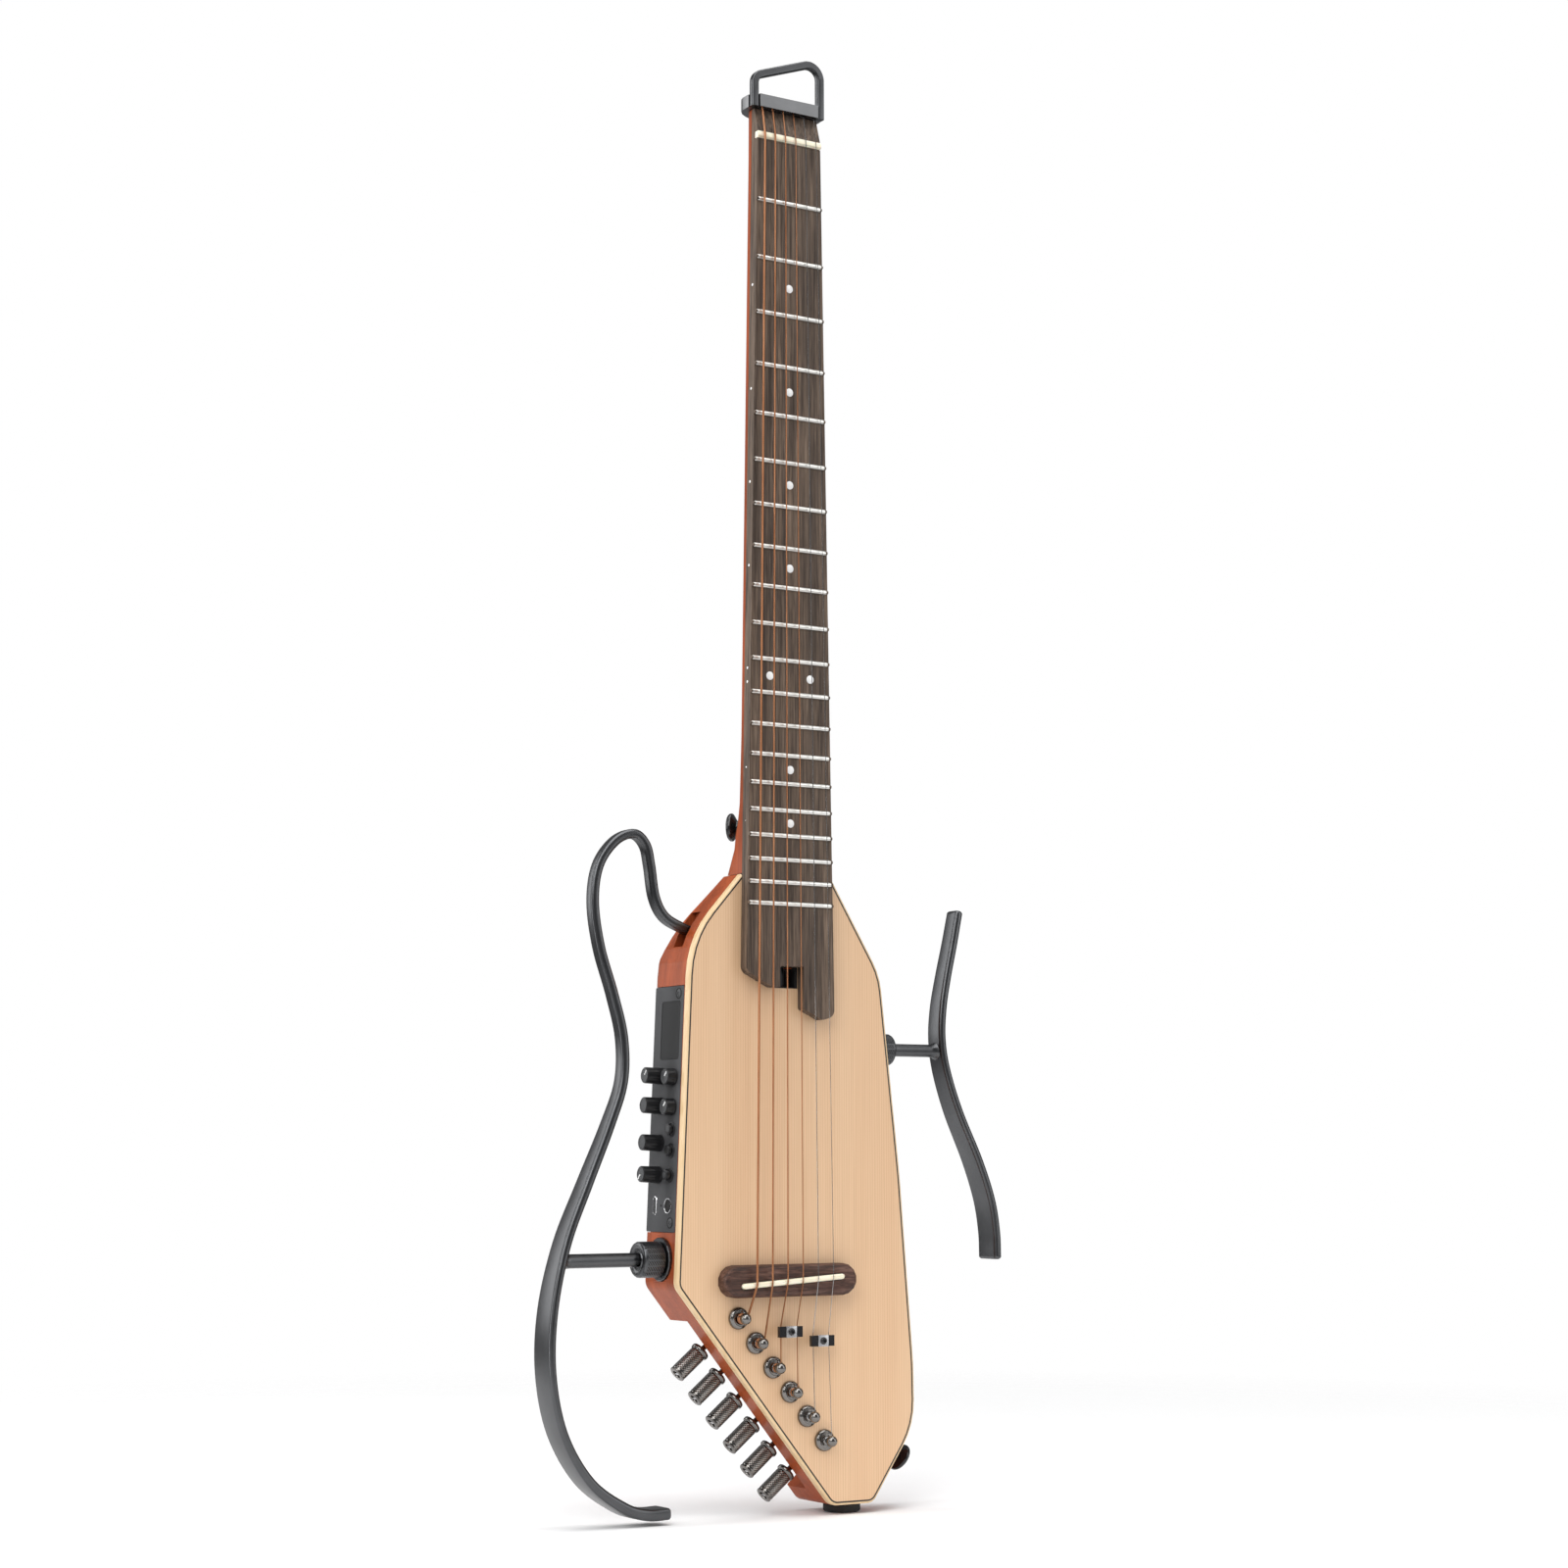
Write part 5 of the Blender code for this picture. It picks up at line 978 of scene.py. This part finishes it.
class GUITAR_OT_controls(bpy.types.Operator):
    """Dress the control knobs, buttons, sockets and screws on the side panel"""
    bl_idname = "guitar.controls"
    bl_label = "Side controls"

    def execute(self, context):
        out = Vector(JOINTS["control_1_turn"]["axis"])
        up = Y.cross(out)
        turn = axes_at((0, 0, 0), up, Y, out)
        for number, pointer in enumerate(POINTERS, start=1):
            self.dial(number, pointer, out)
        for number in range(1, 4):
            self.button(number, out)
        self.screws(out, turn)
        self.sockets(out, turn)
        self.screen(turn)
        return {"FINISHED"}

    def on_panel(self, y, z):
        """The point of the panel's outer face at this depth and height."""
        start, out = Vector(JOINTS["control_1_turn"]["pos_m"]), Vector(JOINTS["control_1_turn"]["axis"])
        up = Y.cross(out)
        at = start + up * ((z - start.z) / up.z)
        face = max(vert.co.dot(out) for vert in NODES["control_panel"].data.vertices)
        at = Vector((at.x, y, z))
        return at + out * (face - at.dot(out))

    def dial(self, number, pointer, out):
        start, body = Vector(JOINTS[f"control_{number}_turn"]["pos_m"]), f"control_knob_{number}"
        length, r = DIAL_LENGTHS[number - 1] + 0.00005, DIAL_RADIUS
        profile = [(0.00038, 0.0021), (0.00035, r - 0.0003), (0.0006, r), (0.0014, r), (0.0017, r - 0.0002),
                   (length - 0.0009, r - 0.00028), (length - 0.0004, r - 0.0004),
                   (length - 0.00005, r - 0.0009)]
        turned(f"dial_side_{number}", profile, start, out, 48, "knob", body)
        face = [(length - 0.00008, r - 0.00085), (length + 0.00003, r - 0.0011), (length, r - 0.0014),
                (length - 0.00028, r - 0.0017), (length - 0.00025, 0.00002)]
        turned(f"dial_face_{number}", face, start, out, 48, "knob_face", body, "knob_black")
        if pointer is None:
            return
        turn = math.radians(pointer)
        side = Y.cross(out) * math.cos(turn) - Y * math.sin(turn)
        hand = block((0.0004, -0.00034, length - 0.0005), (0.0035, 0.00034, length + 0.00012), 0.00006)
        hand = turned_to(hand, axes_at(start, side, out.cross(side), out))
        piece(f"dial_pointer_{number}", hand, "white_mark", body, "knob_black")

    def button(self, number, out):
        body = f"control_button_{number}"
        middle = self.on_panel(*middle_of(body).yz)
        radius, rise = BUTTONS[number - 1]
        profile = [(0.0013, 0.0019), (0.00128, radius - 0.0002), (0.0015, radius),
                   (rise - 0.0006, radius - 0.0001), (rise - 0.00015, radius - 0.0003),
                   (rise, radius - 0.0008), (rise, radius - 0.0013), (rise - 0.0003, radius - 0.0016),
                   (rise - 0.0003, 0.00002)]
        turned(f"button_cap_{number}", profile, middle, out, 40, "knob", body)
        face = [(rise - 0.00025, 0.0018), (rise + 0.00002, 0.0017), (rise + 0.00002, 0.00002)]
        look = "dark_hole" if number == 2 else "knob_face"
        turned(f"button_face_{number}", face, middle, out, 32, look, body, "knob_black")
        ring = [(0.0, radius + 0.0011), (0.00035, radius + 0.0009), (0.0004, radius + 0.0004),
                (0.0, radius + 0.0002)]
        turned(f"button_ring_{number}", ring, middle, out, 40, "knob")

    def screws(self, out, turn):
        for number, (y, z) in enumerate(PANEL_SCREWS, start=1):
            centre = self.on_panel(y, z)
            ring = [(0.0, 0.0031), (0.0003, 0.0030), (0.0003, 0.0027), (0.00005, 0.0025)]
            head = [(0.00005, 0.0025), (0.0004, 0.0019), (0.0005, 0.0010), (0.0005, 0.00002)]
            turned(f"screw_ring_{number}", ring, centre, out, 32, "dark_hole", slot="panel")
            turned(f"screw_head_{number}", head, centre, out, 32, "knob_face", slot="panel")
            # Painted shade: the dark cross stands for the shade down in the screw's cross slots.
            bars = together([block((-0.0011, -0.0002, 0.0003), (0.0011, 0.0002, 0.00056), 0.00005),
                             block((-0.0002, -0.0011, 0.0003), (0.0002, 0.0011, 0.00056), 0.00005)])
            at = Matrix.Translation(centre) @ turn @ Matrix.Rotation(0.6, 4, "Z")
            piece(f"screw_cross_shade_{number}", turned_to(bars, at), "dark_hole", ROOT, "panel")

    def sockets(self, out, turn):
        jack = self.on_panel(*JACK_PLACE)
        rise = max(vert.co.dot(out) for vert in NODES["circuit_board"].data.vertices) - jack.dot(out)
        rise = max(rise, 0.0)
        ring = [(0.0, 0.0043), (rise + 0.0003, 0.0042), (rise + 0.0004, 0.0040), (rise + 0.0003, 0.0037),
                (rise + 0.0001, 0.0036)]
        turned("jack_ring", ring, jack, out, 40, "chrome", slot="black_nickel")
        # A dark dished disc in the jack: its raised ring is the jack's dark sleeve, its flat middle painted shade
        # inside the hole.
        barrel = [(rise + 0.0001, 0.0037), (rise + 0.0002, 0.0030), (rise + 0.0004, 0.0027),
                  (rise + 0.0004, 0.0022), (rise + 0.0001, 0.0019), (rise + 0.0001, 0.00002)]
        turned("jack_barrel_and_hole_shade", barrel, jack, out, 40, "dark_hole", slot="panel")
        usb = self.on_panel(*SMALL_SOCKET_PLACE)
        rim = []
        for grow, lift in ((0.0006, 0.0), (0.0004, 0.0003), (0.0, 0.00035), (-0.0001, 0.0001)):
            rim.append([turn @ Vector((a, b, lift)) + usb
                        for a, b in rounded_section(0.0094 + 2 * grow, 0.0032 + 2 * grow, 0.00155 + grow)])
        piece("usb_rim", skin(rim, caps=False), "chrome", ROOT, "black_nickel")
        # Painted shade: a dark plate fills the socket's opening round its tongue.
        floor = [[turn @ Vector((a, b, rise)) + usb for a, b in rounded_section(size, size - 0.0062, 0.0015)]
                 for size, rise in ((0.0094, -0.0002), (0.0092, 0.0001))]
        piece("usb_painted_hole_shade", skin(floor), "dark_hole", ROOT, "panel")
        tongue = block((-0.0032, -0.00035, 0.0), (0.0032, 0.00035, 0.0003), 0.0001)
        piece("usb_tongue", turned_to(tongue, Matrix.Translation(usb) @ turn), "knob_face", ROOT,
              "black_nickel")
        led = self.on_panel(*STATUS_LIGHT_PLACE)
        piece("status_light", lathe([(0, 0.0007), (0.0002, 0.0006), (0.0003, 0.00002)], led, out, 24),
              "dark_hole", ROOT, "panel")

    def screen(self, turn):
        """A thin raised rim round the screen."""
        centre = self.on_panel(*middle_of("display_window").yz)
        rings = []
        for grow, rise in ((0.00005, -0.0002), (0.00005, 0.0001), (0.0003, 0.0001), (0.0004, -0.0001)):
            rings.append([turn @ Vector((a, b, rise)) + centre
                          for a, b in rounded_section(0.032 + 2 * grow, 0.0202 + 2 * grow, 0.0013 + grow)])
        piece("screen_rim", skin(rings, caps=False), "dark_hole", ROOT, "panel")


class GUITAR_OT_hardware(bpy.types.Operator):
    """Dress the string retainers, strap buttons and tail foot"""
    bl_idname = "guitar.hardware"
    bl_label = "Small hardware"

    def execute(self, context):
        for number in (1, 2):
            low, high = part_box(f"string_retainer_{number}")
            x, z = (low.x + high.x) / 2, (low.z + high.z) / 2
            clip = block((x - 0.0034, low.y - 0.0005, low.z - 0.0002),
                         (x + 0.0034, low.y + 0.0012, high.z + 0.0002), 0.0003)
            piece(f"retainer_clip_{number}", clip, "chrome", ROOT, "black_nickel")
            head = [(0.0004, 0.0021), (0.0010, 0.0020), (0.0015, 0.0016), (0.0017, 0.0011), (0.0017, 0.0009),
                    (0.0009, 0.00085), (0.0009, 0.00002)]
            screw = lathe(head, Vector((x, low.y, z)), -Y, 32)
            piece(f"retainer_screw_{number}", screw, "gloss_black")
        for number, (base, axis) in enumerate(STRAP_BUTTONS, start=1):
            mm = [(0.1, 5.3), (1.2, 5.3), (1.9, 4.7), (2.8, 3.95), (4.0, 3.62), (7.4, 3.78), (8.6, 5.0),
                  (9.5, 7.1), (10.1, 7.9), (10.8, 8.1), (11.6, 7.95), (12.3, 7.4), (12.8, 6.6), (13.05, 5.6),
                  (13.05, 2.6), (12.5, 2.0), (12.3, 0.02)]
            profile = [(a * MM, r * MM) for a, r in mm]
            piece(f"strap_button_shell_{number}", lathe(profile, base, axis, 48), "gloss_black")
        low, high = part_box("tail_foot")
        top = Vector(((low.x + high.x) / 2, (low.y + high.y) / 2, high.z))
        r = (high.x - low.x) / 2
        profile = [(0.0, r - 0.0002), (0.0008, r + 0.00005), (0.0040, r + 0.00005), (0.0046, r - 0.0003),
                   (0.00497, r - 0.0009), (0.00499, 0.003), (0.0045, 0.0026), (0.0045, 0.00002)]
        piece("foot_shell", lathe(profile, top, -Z, 48), "rubber")
        return {"FINISHED"}


# ---------------------------------------------------------------- studio and camera

class GUITAR_OT_stage(bpy.types.Operator):
    """Set up the floor, the lights and the camera"""
    bl_idname = "guitar.stage"
    bl_label = "Stage"

    def execute(self, context):
        scene = context.scene
        settings = scene.guitar_stage
        self.floor(settings)
        self.lamp("key_light", (-1.9, -1.5, 1.7), 1.7, 2.2, settings.key_power)
        self.lamp("fill_light", (1.7, -1.7, 0.9), 1.2, 2.2, settings.fill_power)
        self.lamp("top_light", (0.0, -0.4, 2.4), 2.4, 2.4, settings.top_power)
        self.lamp("edge_light", (-1.3, 1.6, 0.9), 0.8, 1.8, settings.fill_power * 0.8)
        self.lamp("strip_light", (-1.7, 0.15, 0.5), 0.3, 1.9, settings.strip_power)
        self.world(scene)
        self.camera(scene)
        scene.view_settings.view_transform = "Standard"
        return {"FINISHED"}

    def floor(self, settings):
        work = bmesh.new()
        bmesh.ops.create_grid(work, x_segments=8, y_segments=8, size=FLOOR_REACH)
        mesh = bpy.data.meshes.new("studio_floor")
        work.to_mesh(mesh)
        work.free()
        mesh.materials.append(floor_finish(tuple(settings.floor_colour)))
        floor = bpy.data.objects.new("studio_floor", mesh)
        floor.location = (0, 0, FRAME_BOX[0][2] - 0.0002)
        bpy.context.scene.collection.objects.link(floor)

    def lamp(self, name, place, width, height, power):
        light = bpy.data.lights.new(name, "AREA")
        light.shape = "RECTANGLE"
        light.size, light.size_y = width, height
        light.energy = power
        lamp = bpy.data.objects.new(name, light)
        lamp.location = place
        lamp.rotation_euler = (LIGHTS_AIM - Vector(place)).to_track_quat("-Z", "Y").to_euler()
        bpy.context.scene.collection.objects.link(lamp)

    def world(self, scene):
        world = bpy.data.worlds.new("studio")
        scene.world = world
        world.use_nodes = True
        tree = world.node_tree
        background = tree.nodes["Background"]
        path = tree.nodes.new("ShaderNodeLightPath")
        mix = tree.nodes.new("ShaderNodeMix")
        mix.data_type = "RGBA"
        mix.inputs[6].default_value = (0.22, 0.22, 0.225, 1)
        mix.inputs[7].default_value = (1.0, 1.0, 1.0, 1)
        tree.links.new(path.outputs["Is Camera Ray"], mix.inputs[0])
        tree.links.new(mix.outputs[2], background.inputs["Color"])

    def camera(self, scene):
        data = bpy.data.cameras.new("view")
        data.sensor_width = 36.0
        data.lens = CAMERA_LENS
        data.shift_y = CAMERA_RISE
        data.clip_start, data.clip_end = 0.05, 20
        camera = bpy.data.objects.new("view", data)
        yaw, pitch, roll = CAMERA_TURN
        right = Vector((math.cos(yaw), math.sin(yaw), 0))
        ahead = Vector((-math.sin(yaw), math.cos(yaw), 0))
        up = Z * math.cos(pitch) - ahead * math.sin(pitch)
        ahead = ahead * math.cos(pitch) + Z * math.sin(pitch)
        side = right * math.cos(roll) + up * math.sin(roll)
        top = up * math.cos(roll) - right * math.sin(roll)
        camera.matrix_world = axes_at(CAMERA_PLACE, side, top, -ahead)
        scene.collection.objects.link(camera)
        scene.camera = camera


OPERATORS = (
    GUITAR_OT_finish_frame, GUITAR_OT_top_edge, GUITAR_OT_fingerboard, GUITAR_OT_string_wraps,
    GUITAR_OT_tuners, GUITAR_OT_side_frames, GUITAR_OT_soft_wood, GUITAR_OT_collars, GUITAR_OT_controls,
    GUITAR_OT_hardware, GUITAR_OT_stage,
)
GROUPS = {"guitar_woods": GuitarWoods, "guitar_metals": GuitarMetals, "guitar_fittings": GuitarFittings,
          "guitar_stage": GuitarStage}


class VIEW3D_PT_guitar(bpy.types.Panel):
    """Sizes, colours and building steps"""
    bl_label = "Travel guitar"
    bl_space_type = "VIEW_3D"
    bl_region_type = "UI"
    bl_category = "Guitar"

    def draw(self, context):
        for name, group in GROUPS.items():
            box = self.layout.box()
            for label in group.__annotations__:
                box.prop(getattr(context.scene, name), label)
        for operator in OPERATORS:
            self.layout.operator(operator.bl_idname)


CLASSES = (*GROUPS.values(), *OPERATORS, VIEW3D_PT_guitar)


def register():
    for cls in CLASSES:
        bpy.utils.register_class(cls)
    for name, group in GROUPS.items():
        setattr(bpy.types.Scene, name, PointerProperty(type=group))


def unregister():
    for name in GROUPS:
        delattr(bpy.types.Scene, name)
    for cls in reversed(CLASSES):
        bpy.utils.unregister_class(cls)


def main():
    register()
    for operator in OPERATORS:
        group, name = operator.bl_idname.split(".")
        getattr(getattr(bpy.ops, group), name)()


if __name__ == "__main__":
    main()
